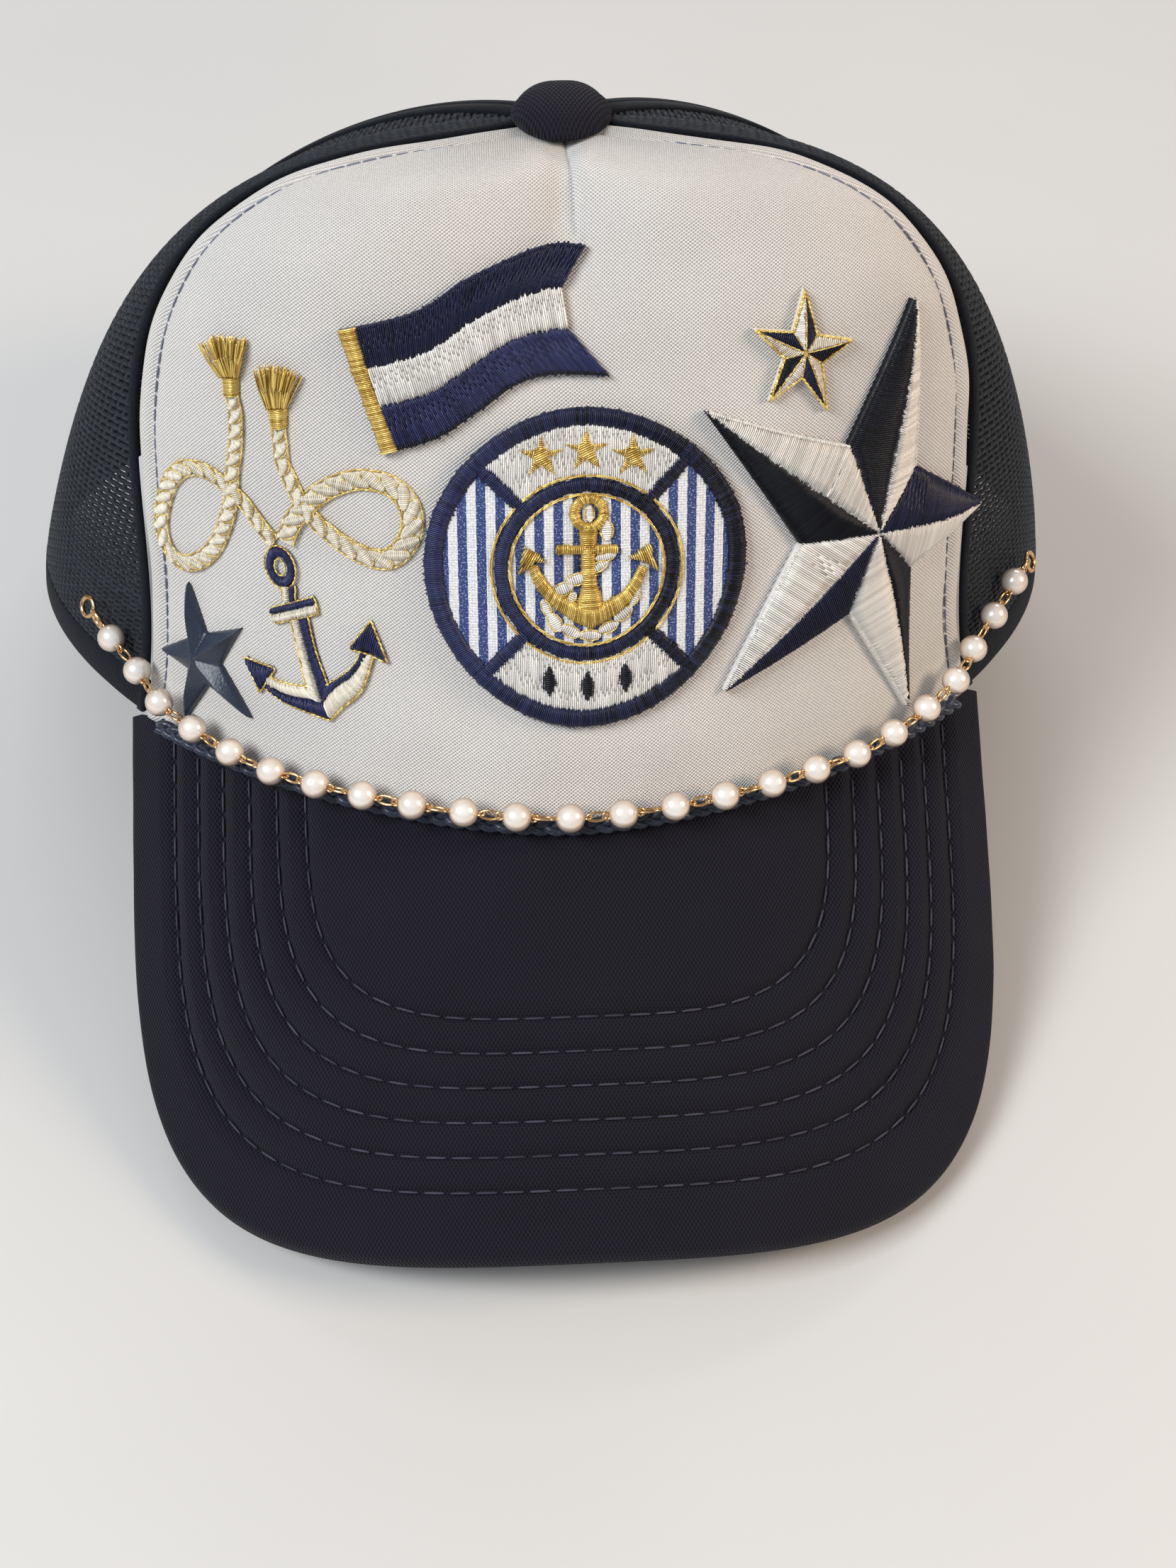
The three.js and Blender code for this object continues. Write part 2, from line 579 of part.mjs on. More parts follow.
const ROPE = { half: 1.35, height: 1.3 };
const ANCHOR = { height: 1.5, crossing: 0.55 };
function ropeAndAnchor() {
  const { half, height } = ROPE;
  const rope = (points, cuts, bottom) => cordBand(points, [half, half], height, cuts, bottom);
  const bar = (points, widths, cuts, bottom) => cordBand(points, widths, ANCHOR.height, cuts, bottom);
  return fuse([
    cordBand([[-55.2, 83.4], [-55, 77], [-55, 71]], [4.4, 2.6, 1.3], height, 3),
    cordBand([[-46.1, 76.8], [-46.5, 71], [-46.9, 66]], [4.2, 2.4, 1.3], height, 3),
    rope([[-54.9, 72], [-55, 64], [-56, 56.4], [-53.4, 49.8], [-49.6, 43.8]], 6),
    oval([-65.7, 45.7], [8.1, 9.7], half, height),
    rope([[-58, 50], [-55.2, 52.6]], 1, ANCHOR.crossing),
    rope([[-46.8, 67], [-46, 58], [-42.9, 50.3], [-37.2, 44.9], [-30.8, 43.8], [-26.2, 47], [-25.5, 53.5],
      [-28.4, 58], [-34.5, 58.9], [-40.6, 55.6], [-44.8, 49.5], [-48.2, 44.4]], 17),
    oval([-48.9, 40.4], [2.3, 2.6], 1.1, ANCHOR.height, ANCHOR.crossing),
    bar([[-48, 38.5], [-41.8, 14.8]], [1.1, 1.7], 2),
    bar([[-51.6, 30.8], [-42.5, 35.5]], [0.9, 0.9], 1, ANCHOR.crossing),
    bar([[-56.3, 17.6], [-52, 17.2], [-41.9, 14.6], [-36, 22], [-32.7, 29.3]],
      [0.8, 1.2, 1.8, 1.2, 0.8], 6, ANCHOR.crossing),
    bar([[-37, 26.8], [-33, 27.4], [-30.4, 26.4]], [0.5, 1.5, 0.5], 2),
    bar([[-33.5, 27], [-32.9, 33.2]], [2.5, 0.4], 1),
    bar([[-54.6, 17.6], [-58.8, 20.8]], [2.3, 0.4], 1),
  ]);
}

// Finishes: colour, roughness, metalness
const finish = (color, roughness, metalness = 0) => (
  new THREE.MeshStandardMaterial({ color, roughness, metalness }));
const FINISH = {
  foam: finish(0xe6e2dc, 0.9),
  mesh: finish(0x171b26, 0.75),
  navyFoam: finish(0x1a1a28, 0.85),
  plastic: finish(0x14161f, 0.45),
  navyThread: finish(0x1d2142, 0.5),
  whiteThread: finish(0xe9e6e2, 0.5),
  goldThread: finish(0xc9a648, 0.35, 0.6),
  gold: finish(0xd8a648, 0.25, 1),
  pearl: finish(0xf1ebe0, 0.2),
};

const hat = new THREE.Group();
function addPiece(name, geometry, material) {
  const mesh = new THREE.Mesh(geometry, material);
  mesh.name = name;
  hat.add(mesh);
}

addPiece('front_panel', frontPanel(), FINISH.foam);
for (const [side, word] of [[-1, 'left'], [1, 'right']]) {
  addPiece(`side_mesh_${word}`, sideMesh(side), FINISH.mesh);
  addPiece(`back_mesh_${word}`, backMesh(side), FINISH.mesh);
  addPiece(`clasp_${word}`, clasp(side), FINISH.gold);
}
addPiece('brim', brim(), FINISH.navyFoam);
addPiece('button', button(), FINISH.navyFoam);
addPiece('snap_strap', snapStrap(), FINISH.plastic);
addPiece('rope_braid', ropeBraid(), FINISH.navyThread);
addPiece('pearl_chain', pearlChain(), FINISH.pearl);
addPiece('flag_patch', flag(), FINISH.navyThread);
addPiece('rope_anchor_patch', ropeAndAnchor(), FINISH.goldThread);
addPiece('navy_star_patch', starFor(STARS.navy), FINISH.navyThread);
addPiece('round_badge_patch', badge(), FINISH.whiteThread);
addPiece('large_star_patch', starFor(STARS.large), FINISH.navyThread);
addPiece('gold_star_patch', starFor(STARS.gold), FINISH.goldThread);

// The origin is under the middle of the hat's bounding box, on the surface it rests on.
const box = new THREE.Box3().setFromObject(hat);
hat.position.set(-(box.min.x + box.max.x) / 2, -(box.min.y + box.max.y) / 2, -box.min.z);

export default hat;
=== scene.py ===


# %% [markdown]
# # A foam-front trucker hat with nautical patches
#
# The real hat has a white foam panel in front, four panels of navy netting behind it, and a padded
# brim with six rows of stitching. Its maker sewed on six embroidered patches, a satin braid along
# the brim seam, and a chain of pearls that hangs over the braid from two gold rings.
# The parts were built first as plain solids. This lesson dresses them: it works out the hat's
# surface from a few sizes again, and lays cloth, netting, thread, wire and pearl on it.

# %% Load the frame that the solids were packed in
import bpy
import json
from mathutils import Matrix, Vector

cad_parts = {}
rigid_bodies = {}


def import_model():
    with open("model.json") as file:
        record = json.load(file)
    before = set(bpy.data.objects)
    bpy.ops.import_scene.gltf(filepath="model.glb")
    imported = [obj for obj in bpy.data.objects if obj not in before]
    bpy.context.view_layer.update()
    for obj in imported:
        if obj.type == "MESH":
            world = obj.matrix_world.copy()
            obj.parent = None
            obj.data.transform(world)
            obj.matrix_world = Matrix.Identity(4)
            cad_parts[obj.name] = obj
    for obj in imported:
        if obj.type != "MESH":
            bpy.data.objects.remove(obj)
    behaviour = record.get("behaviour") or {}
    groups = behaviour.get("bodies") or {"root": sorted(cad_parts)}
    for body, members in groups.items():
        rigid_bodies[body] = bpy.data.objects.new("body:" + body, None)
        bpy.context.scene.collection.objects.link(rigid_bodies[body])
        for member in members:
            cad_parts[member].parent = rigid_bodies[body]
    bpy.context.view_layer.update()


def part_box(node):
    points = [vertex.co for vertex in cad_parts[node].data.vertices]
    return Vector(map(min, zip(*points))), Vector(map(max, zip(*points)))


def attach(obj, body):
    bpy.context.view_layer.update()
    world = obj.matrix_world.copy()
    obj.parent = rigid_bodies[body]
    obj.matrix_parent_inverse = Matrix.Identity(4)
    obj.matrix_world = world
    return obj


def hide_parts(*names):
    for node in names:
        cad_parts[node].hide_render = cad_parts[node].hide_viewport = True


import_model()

# %% Libraries and units
import json
import math
import bmesh
import bpy
import numpy as np
from mathutils import Matrix, Vector

MM = 0.001
TURN = 2 * math.pi
SEED = 11
chance = np.random.default_rng(SEED)
print("1 mm is", MM, "m, and the random seed is", SEED)

# %% [markdown]
# ## The sizes that drive the hat
#
# All sizes are in millimetres, on the same axes as the solids: up is +Z and the wearer faces -Y.
# The rim is an oval that the brim meets in front, and the brim is a flat sheet bent round a
# cylinder, so one radius and one slope give its whole curve. We keep the numbers in one place,
# because every piece below sits on these two surfaces.

# %% Driving sizes
RIM = {"half_width": 100.7, "front": 102.0, "back": 92.3, "front_power": 1.82, "back_power": 2.15,
       "back_from": 57.0}
BRIM = {"seam_height": 53.3, "slope": math.radians(32.0), "arch_radius": 113.5, "half_arc": 86.7,
        "length": 71.8, "corner_power": 3.5, "straight_to": -9.5, "thickness": 4.6,
        "first_row": 11.9, "row_pitch": 5.64, "rows": 6}
CROWN = {"top": 145.4, "top_x": 1.2, "top_y": -32.5, "front_power": 9.9, "side_power": 1.6,
         "back_power": 1.28, "front_lean": 0.765, "side_lean": -0.037, "side_bulge": -0.036,
         "back_bulge": 0.17, "back_tuck": 0.3, "foam": 2.5, "net": 1.2, "skirt": 5.0,
         "skirt_from": 58.0, "skirt_to": 82.0}
SEAMS = {"front_low": 49.9, "front_swell": 8.3, "front_top": 3.3, "side_to_back": 115.0, "back": 180.0}
BUTTON = {"radius": 8.0, "height": 4.8, "hole": 4.0}
GAP = 0.3

button_low, button_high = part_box("button")
SHIFT = np.array([0.0, (button_low.y + button_high.y) / 2 / MM - CROWN["top_y"], 0.0])
print("the solids' middle lies", round(SHIFT[1], 2), "mm behind the rim's middle")

# %% [markdown]
# ## The camera and the light
#
# The photograph looks down on the brim from in front, about 47 degrees above the table and
# close by, so the brim looks large and the crown leans away. The camera comes first, because
# every later choice is judged through it. It is given by what it looks at, how far off it
# stands, and its two angles and roll.

# %% Camera
PHOTO = {"long_side": 2212, "focal_pixels": 3300.0}
LOOK = {"at": (2.7, -102.0, 63.9), "distance": 384.7, "up_angle": math.radians(47.3),
        "round_angle": math.radians(-4.35), "roll": math.radians(1.36)}


def camera_axes(look):
    flat = math.cos(look["up_angle"])
    back = np.array([math.sin(look["round_angle"]) * flat, -math.cos(look["round_angle"]) * flat,
                     math.sin(look["up_angle"])])
    right = np.cross([0.0, 0.0, 1.0], back)
    right /= np.linalg.norm(right)
    up = np.cross(back, right)
    c, s = math.cos(look["roll"]), math.sin(look["roll"])
    return right * c + up * s, up * c - right * s, back


right, up, back = camera_axes(LOOK)
camera = bpy.data.objects.new("camera", bpy.data.cameras.new("camera"))
bpy.context.scene.collection.objects.link(camera)
camera.data.sensor_width = 36.0
camera.data.lens = PHOTO["focal_pixels"] * camera.data.sensor_width / PHOTO["long_side"]
place = (np.array(LOOK["at"]) + back * LOOK["distance"] + SHIFT) * MM
turn = Matrix([[*row] for row in zip(right, up, back)])
camera.matrix_world = Matrix.Translation(Vector(place)) @ turn.to_4x4()
camera.data.clip_start = 0.01
bpy.context.scene.camera = camera
print("lens:", round(camera.data.lens, 1), "mm, camera height:", round(place[2], 3), "m")

# %% [markdown]
# The light is a large soft window from the left and front, a fainter warm one from the right, and
# a wide strip behind that draws a thin bright line on pearls and gold. The floor is a plain pale
# sheet.

# %% Floor
FLOOR = {"half_size": 3.0, "drop": 0.0002}
floor_mesh = bpy.data.meshes.new("floor")
half = FLOOR["half_size"]
corners = [(-half, -half, 0), (half, -half, 0), (half, half, 0), (-half, half, 0)]
floor_mesh.from_pydata(corners, [], [(0, 1, 2, 3)])
floor = bpy.data.objects.new("floor", floor_mesh)
floor.location.z = -FLOOR["drop"]
bpy.context.scene.collection.objects.link(floor)
print("floor:", 2 * half, "m wide")

# %% World and lamps
bpy.context.scene.view_settings.view_transform = "Standard"
world = bpy.data.worlds.new("studio")
bpy.context.scene.world = world
world.use_nodes = True
sky = world.node_tree.nodes["Background"]
sky.inputs["Color"].default_value = (0.86, 0.90, 1.0, 1)
sky.inputs["Strength"].default_value = 0.34


def lamp(name, place, target, size, power, tint):
    data = bpy.data.lights.new(name, "AREA")
    data.shape = "RECTANGLE"
    data.size, data.size_y = size
    data.energy = power
    data.color = tint
    made = bpy.data.objects.new(name, data)
    bpy.context.scene.collection.objects.link(made)
    made.location = place
    made.rotation_euler = (Vector(target) - Vector(place)).to_track_quat("-Z", "Y").to_euler()


HAT_MIDDLE = (0.0, -0.02, 0.08)
lamp("window", (-0.70, -0.45, 0.95), HAT_MIDDLE, (0.55, 0.45), 13.5, (0.93, 0.97, 1.0))
lamp("warm_side", (0.85, -0.25, 0.60), HAT_MIDDLE, (0.35, 0.35), 6.0, (1.0, 0.80, 0.60))
lamp("back_strip", (0.1, 0.85, 0.80), HAT_MIDDLE, (1.2, 0.25), 4.0, (1.0, 0.98, 0.95))
print("lamps:", len(bpy.data.lights))

# %% [markdown]
# ## The hat's surface
#
# A point of the crown is named by two angles: theta runs round the hat from the middle of the
# front, and rise runs from 0 at the rim to a quarter turn at the button. Between them a rounded
# curve is blended whose power sets how square the shoulder is: high in front, where foam makes a
# boxy panel, and low at the back, where soft netting rounds off. We write it for whole arrays at
# once, so that thousands of stitches can be placed in one call.


# %% Brim and rim surfaces
def brim_sheet(across, ahead):
    """The brim's upper sheet before padding, and its upward normal."""
    bend = across / BRIM["arch_radius"]
    drop = BRIM["arch_radius"] * (1 - np.cos(bend))
    s, c = math.sin(BRIM["slope"]), math.cos(BRIM["slope"])
    points = np.stack([BRIM["arch_radius"] * np.sin(bend), -RIM["front"] - ahead * c + drop * s,
                       BRIM["seam_height"] - ahead * s - drop * c], -1)
    normals = np.stack([np.sin(bend), -np.cos(bend) * s, np.cos(bend) * c], -1)
    return points, normals


def brim_height(x, y):
    """The height of the brim's sheet over a place on the plan."""
    r = BRIM["arch_radius"]
    s, c = math.sin(BRIM["slope"]), math.cos(BRIM["slope"])
    drop = r - np.sqrt(np.maximum(r * r - x * x, 1.0))
    ahead = (-RIM["front"] + drop * s - y) / c
    return BRIM["seam_height"] - ahead * s - drop * c


def rim_plan(theta):
    """The oval of the rim, blunter at the back than in front."""
    s, c = np.sin(theta), np.cos(theta)
    power = 2 / np.where(c > 0, RIM["front_power"], RIM["back_power"])
    depth = np.where(c > 0, -RIM["front"], RIM["back"])
    return RIM["half_width"] * np.sign(s) * np.abs(s) ** power, depth * np.abs(c) ** power


def rim_point(theta):
    """The rim in space: it follows the brim in front, then falls towards the back."""
    x, y = rim_plan(theta)
    x_side, y_side = rim_plan(np.array(math.radians(RIM["back_from"])))
    fall = 1 - np.clip((y - y_side) / (RIM["back"] - y_side), 0, 1)
    at_front = np.abs(theta) <= math.radians(RIM["back_from"])
    return np.stack([x, y, np.where(at_front, brim_height(x, y), brim_height(x_side, y_side) * fall)], -1)


print("the rim's foremost point:", np.round(rim_point(np.array(0.0)), 1), "mm")


# %% Crown surface
def crown_point(theta, rise):
    theta, rise = np.broadcast_arrays(np.asarray(theta, float), np.asarray(rise, float))
    rim = rim_point(theta)
    side = np.sin(theta) ** 2
    front = np.where(np.cos(theta) > 0, 1 - side, 0)
    behind = np.where(np.cos(theta) > 0, 0, 1 - side)
    power = CROWN["front_power"] * front + CROWN["side_power"] * side + CROWN["back_power"] * behind
    lean = CROWN["front_lean"] * front + CROWN["side_lean"] * side
    bulge = CROWN["side_bulge"] * side + CROWN["back_bulge"] * behind
    c, s = np.cos(rise), np.sin(rise)
    size = (c ** power + s ** power) ** (1 / power)
    w = s / size
    tuck = CROWN["back_tuck"] * behind * w * (1 - w) ** 2
    h = c / size * (1 - lean * w + bulge * 4 * w * (1 - w) + tuck)
    return np.stack([CROWN["top_x"] + (rim[..., 0] - CROWN["top_x"]) * h,
                     CROWN["top_y"] + (rim[..., 1] - CROWN["top_y"]) * h,
                     rim[..., 2] + (CROWN["top"] - rim[..., 2]) * w], -1)


def unit(vectors):
    """The same directions, each of length 1."""
    return vectors / np.maximum(np.linalg.norm(vectors, axis=-1, keepdims=True), 1e-12)


def crown_normal(theta, rise):
    """The outward direction, from four places close round each place."""
    e = 1e-4
    r = np.clip(rise, e, math.pi / 2 - 0.02)
    across = crown_point(theta + e, r) - crown_point(theta - e, r)
    upward = crown_point(theta, r + e) - crown_point(theta, r - e)
    return unit(np.cross(across, upward))


def crown_out(theta, rise, out):
    return crown_point(theta, rise) + crown_normal(theta, rise) * np.asarray(out)[..., None]


def mm_per_radian(theta, rise):
    """How many millimetres round the crown one radian covers."""
    step = 0.01
    apart = crown_point(theta + step, rise) - crown_point(theta - step, rise)
    return np.linalg.norm(apart, axis=-1) / (2 * step)


print("crown top:", np.round(crown_point(0.0, math.pi / 2), 1))

# %% [markdown]
# ## Measuring on the crown with a tape
#
# Patches and netting are flat cloth laid on a curved crown. A maker places them with a tape
# measure: so many millimetres across and so many up from the seam. This little class does the
# same. It measures a fan of curves once and then looks places up in that table.


# %% The tape measure
def running_length(points):
    """The distance along rows of points, from the first point of each."""
    steps = np.linalg.norm(np.diff(points, axis=-2), axis=-1)
    start = np.zeros(steps.shape[:-1] + (1,))
    return np.concatenate([start, np.cumsum(steps, -1)], -1)


class Tape:
    """Places by millimetres across from a middle line, up from the rim, and out from the skin."""
    CELL = 0.5
    REACH = 140.0
    HALF_FAN = 200
    STEPS_UP = 400
    TOP_SHARE = 0.995

    def __init__(self, middle=0.0, spread=1.45):
        self.rises = np.linspace(0, math.pi / 2 * self.TOP_SHARE, self.STEPS_UP)
        self.lengths = running_length(crown_point(middle, self.rises))
        self.height = self.lengths[-1]
        ups = np.arange(0, self.height, self.CELL)
        angles = middle + np.linspace(-spread, spread, 2 * self.HALF_FAN + 1)
        rows = running_length(crown_point(angles[None, :], np.interp(ups, self.lengths, self.rises)[:, None]))
        rows -= rows[:, self.HALF_FAN:self.HALF_FAN + 1]
        reach = np.arange(-self.REACH, self.REACH + self.CELL, self.CELL)
        self.table = np.array([np.interp(reach, row, angles) for row in rows])

    def angles(self, spots):
        """The two angles of places, blended from the four cells of the table round each."""
        across, up = spots[..., 0], spots[..., 1]
        rise = np.interp(up, self.lengths, self.rises)
        i = np.clip(up / self.CELL, 0, self.table.shape[0] - 1.001)
        j = np.clip((across + self.REACH) / self.CELL, 0, self.table.shape[1] - 1.001)
        a, b = i.astype(int), j.astype(int)
        u, v = i - a, j - b
        t = self.table
        low = t[a, b] * (1 - v) + t[a, b + 1] * v
        high = t[a + 1, b] * (1 - v) + t[a + 1, b + 1] * v
        return low * (1 - u) + high * u, rise

    def place(self, spots, out):
        theta, rise = self.angles(spots)
        return crown_out(theta, rise, np.broadcast_to(out, theta.shape))


front_tape = Tape()
print("centre line:", round(front_tape.height, 1), "mm")

# %% [markdown]
# ## Building a mesh from arrays
#
# Blender can take a whole mesh as arrays of points and faces, which is much faster than adding
# faces one by one. A `Piece` collects the bodies of one sewn part, and each point also carries
# two notes for its material: where it lies on the flat cloth, and a shade that
# makes one thread a little lighter than the next.

# %% From arrays to a mesh
WELD = 2e-6


def mesh_from(name, points, groups, flat, shades):
    """A mesh of points in millimetres. groups pairs faces with the number of their finish."""
    mesh = bpy.data.meshes.new(name)
    corners = np.concatenate([faces.ravel() for faces, _ in groups])
    sizes = np.concatenate([np.full(len(faces), faces.shape[1]) for faces, _ in groups])
    numbers = np.concatenate([np.full(len(faces), number) for faces, number in groups])
    mesh.vertices.add(len(points))
    mesh.vertices.foreach_set("co", ((points + SHIFT) * MM).ravel())
    mesh.loops.add(len(corners))
    mesh.loops.foreach_set("vertex_index", corners)
    mesh.polygons.add(len(sizes))
    mesh.polygons.foreach_set("loop_start", np.concatenate([[0], np.cumsum(sizes)[:-1]]))
    mesh.polygons.foreach_set("material_index", numbers)
    mesh.update(calc_edges=True)
    mesh.validate()
    mesh.shade_smooth()
    layer = mesh.uv_layers.new(name="flat")
    corners = np.zeros(len(mesh.loops), int)
    mesh.loops.foreach_get("vertex_index", corners)
    layer.data.foreach_set("uv", flat[corners].ravel())
    mesh.attributes.new("shade", "FLOAT", "POINT").data.foreach_set("value", shades)
    return mesh


def weld_points(mesh):
    """Joins points that lie on each other and drops the faces that this leaves without area."""
    work = bmesh.new()
    work.from_mesh(mesh)
    bmesh.ops.remove_doubles(work, verts=work.verts, dist=WELD)
    bmesh.ops.dissolve_degenerate(work, edges=work.edges, dist=WELD)
    work.to_mesh(mesh)
    work.free()


print("points closer than", WELD / MM, "mm can be welded")


# %% The collector of a piece
class Piece:
    """One sewn part. add() takes bodies, and done() makes the mesh and tells the frame about it."""
    def __init__(self, name):
        self.name = name
        self.points, self.flat, self.shades, self.faces, self.finishes = [], [], [], [], []
        self.count = 0

    def add(self, points, faces, finish, shade=0.5, flat=None):
        points = np.asarray(points, float).reshape(-1, 3)
        n = len(points)
        if finish not in self.finishes:
            self.finishes.append(finish)
        self.points.append(points)
        self.flat.append(np.zeros((n, 2)) if flat is None else np.asarray(flat, float).reshape(-1, 2))
        self.shades.append(np.broadcast_to(np.asarray(shade, float).ravel(), n))
        number = self.finishes.index(finish)
        self.faces += [(np.asarray(group) + self.count, number) for group in faces if len(group)]
        self.count += n

    def done(self, node, weld=False):
        points, flat, shades = (np.concatenate(v) for v in (self.points, self.flat, self.shades))
        mesh = mesh_from(self.name, points, self.faces, flat, shades)
        if weld:
            weld_points(mesh)
        for finish in self.finishes:
            mesh.materials.append(finish)
        made = bpy.data.objects.new(self.name, mesh)
        bpy.context.scene.collection.objects.link(made)
        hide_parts(node)
        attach(made, "root")
        mesh.calc_loop_triangles()
        print(f"{self.name}: {len(mesh.loop_triangles)} triangles, {len(self.finishes)} finishes")
        return made


print("a piece collects:", ", ".join(word for word in vars(Piece("sample")) if word != "name"))


# %% Grids and shells
def grid_faces(rows, cols, wrap=False, start=0):
    """Quads of a grid of points. wrap joins the last column to the first."""
    r, c = np.meshgrid(np.arange(rows - 1), np.arange(cols if wrap else cols - 1), indexing="ij")
    d = (c + 1) % cols
    quads = np.stack([r * cols + c, r * cols + d, (r + 1) * cols + d, (r + 1) * cols + c], -1)
    return quads.reshape(-1, 4) + start


def shell(outer, inner, wrap=False):
    """A closed wall between two grids that match, outer first. Returns points and faces."""
    rows, cols = outer.shape[:2]
    total = rows * cols
    faces = [grid_faces(rows, cols, wrap), grid_faces(rows, cols, wrap, total)[:, ::-1]]
    c = np.arange(cols if wrap else cols - 1)
    d = (c + 1) % cols
    last = (rows - 1) * cols
    faces.append(np.stack([c, c + total, d + total, d], -1))
    faces.append(np.stack([last + c, last + d, last + d + total, last + c + total], -1))
    if not wrap:
        r = np.arange(rows - 1) * cols
        e = r + cols - 1
        faces.append(np.stack([r, r + cols, r + cols + total, r + total], -1))
        faces.append(np.stack([e, e + total, e + cols + total, e + cols], -1))
    points = np.concatenate([outer.reshape(-1, 3), inner.reshape(-1, 3)])
    return points, faces


print("a grid of 3 by 4 points has", len(grid_faces(3, 4)), "faces")


# %% Tubes and smooth lines
def tube(path, ups, radius, sides=8, closed=False):
    """A round cord along a path. ups are rough outward directions."""
    path = np.asarray(path, float)
    if closed:
        ahead = np.roll(path, -1, 0) - np.roll(path, 1, 0)
    else:
        ahead = np.gradient(path, axis=0)
    ahead = unit(ahead)
    side = unit(np.cross(ahead, np.broadcast_to(ups, path.shape)))
    out = np.cross(side, ahead)
    a = np.arange(sides) / sides * TURN
    ring = side[:, None] * np.cos(a)[None, :, None] + out[:, None] * np.sin(a)[None, :, None]
    points = path[:, None] + ring * radius
    rows = len(path)
    faces = [grid_faces(rows, sides, wrap=True)]
    if closed:
        c = np.arange(sides)
        d = (c + 1) % sides
        faces.append(np.stack([(rows - 1) * sides + c, (rows - 1) * sides + d, d, c], -1))
    else:
        faces.append(np.arange(sides)[None, ::-1])
        faces.append(np.arange(sides)[None, :] + (rows - 1) * sides)
    return points.reshape(-1, 3), faces


def at_lengths(line, run, where):
    """Places on a line at given lengths. run holds the length at which each of its points lies."""
    return np.stack([np.interp(where, run, line[:, k]) for k in range(line.shape[1])], -1)


def smooth_line(points, count, per_span=24):
    """An even curve through a few points, by the usual four-point blend."""
    p = np.asarray(points, float)
    knots = np.concatenate([2 * p[:1] - p[1:2], p, 2 * p[-1:] - p[-2:-1]])
    spans = len(p) - 1
    t = np.linspace(0, spans, spans * per_span + 1)
    i = np.minimum(t.astype(int), spans - 1)
    f = (t - i)[:, None]
    a, b, c, d = knots[i], knots[i + 1], knots[i + 2], knots[i + 3]
    line = 0.5 * (2 * b + (c - a) * f + (2 * a - 5 * b + 4 * c - d) * f ** 2
                  + (3 * b - a - 3 * c + d) * f ** 3)
    run = running_length(line)
    return at_lengths(line, run, np.linspace(0, run[-1], count))


bend = smooth_line([(0, 0), (10, 5), (20, 0)], 50)
print("a bend through three points is", round(float(running_length(bend)[-1]), 1), "mm long")

# %% [markdown]
# ## Finishes
#
# A finish is a small graph of nodes. Cloth and thread share a few habits: the colour drifts a
# little from place to place, a fine pattern measured in millimetres makes the weave, and the same
# pattern feeds a bump. Two small classes hold the nodes and these habits, so that each finish
# below reads as a short recipe.


# %% Nodes by short names
def colour(code):
    """A web colour as the linear values that shaders use."""
    parts = [int(code[i:i + 2], 16) / 255 for i in (0, 2, 4)]
    return tuple(p / 12.92 if p <= 0.04045 else ((p + 0.055) / 1.055) ** 2.4 for p in parts) + (1.0,)


class Graph:
    """The nodes of one material. sockets sets plain values on its shader."""
    def __init__(self, name, **sockets):
        self.made = bpy.data.materials.new(name)
        self.made.use_nodes = True
        self.tree = self.made.node_tree
        self.skin = self.tree.nodes["Principled BSDF"]
        for key, value in sockets.items():
            self.skin.inputs[key.replace("_", " ")].default_value = value

    def node(self, kind, inputs=(), **settings):
        """A node with its settings. inputs pairs a socket with a value or another node's output."""
        made = self.tree.nodes.new("ShaderNode" + kind)
        for key, value in settings.items():
            setattr(made, key, value)
        for socket, value in dict(inputs).items():
            if isinstance(value, bpy.types.NodeSocket):
                self.tree.links.new(value, made.inputs[socket])
            else:
                made.inputs[socket].default_value = value
        return made

    def math(self, operation, *values):
        return self.node("Math", enumerate(values), operation=operation).outputs[0]

    def ramp(self, value, *stops):
        made = self.node("ValToRGB", {0: value})
        marks = made.color_ramp.elements
        while len(marks) < len(stops):
            marks.new(0.5)
        for mark, (at, tint) in zip(marks, stops):
            mark.position = at
            mark.color = tint
        return made.outputs["Color"]

    def mix(self, share, a, b):
        return self.node("Mix", {0: share, 6: a, 7: b}, data_type="RGBA").outputs[2]

    def paint(self, value):
        self.tree.links.new(value, self.skin.inputs["Base Color"])

    def rough(self, value):
        self.tree.links.new(value, self.skin.inputs["Roughness"])

    def bump(self, value, depth_mm):
        made = self.node("Bump", {"Height": value, "Distance": depth_mm * MM, "Strength": 1.0})
        self.tree.links.new(made.outputs[0], self.skin.inputs["Normal"])


print("middle grey in shader values:", [round(v, 3) for v in colour("808080")[:3]])


# %% Patterns that cloth and thread share
class Finish(Graph):
    def cloth_place(self):
        """Where a point lies on the flat cloth, in millimetres."""
        return self.node("UVMap", uv_map="flat").outputs["UV"]

    def axis(self, index):
        return self.node("SeparateXYZ", {0: self.cloth_place()}).outputs[index]

    def wave(self, value, pitch, phase=0.0):
        """A smooth wave from 0 to 1 that repeats every pitch millimetres."""
        turned = self.math("MULTIPLY_ADD", value, TURN / pitch, phase)
        return self.math("MULTIPLY_ADD", self.math("SINE", turned), 0.5, 0.5)

    def noise(self, per_mm, detail=2.0, place=None):
        where = self.cloth_place() if place is None else place
        return self.node("TexNoise", {"Vector": where, "Scale": per_mm, "Detail": detail}).outputs["Fac"]

    def body_noise(self, per_metre, detail=2.0):
        """Noise through the solid itself, for pieces with no flat cloth."""
        where = self.node("TexCoord").outputs["Object"]
        return self.noise(per_metre, detail, where)

    def shade(self):
        """The note that each thread carries, from 0 for dark to 1 for light."""
        return self.node("Attribute", attribute_name="shade").outputs["Fac"]


print("patterns:", [word for word in vars(Finish) if not word.startswith("_")])

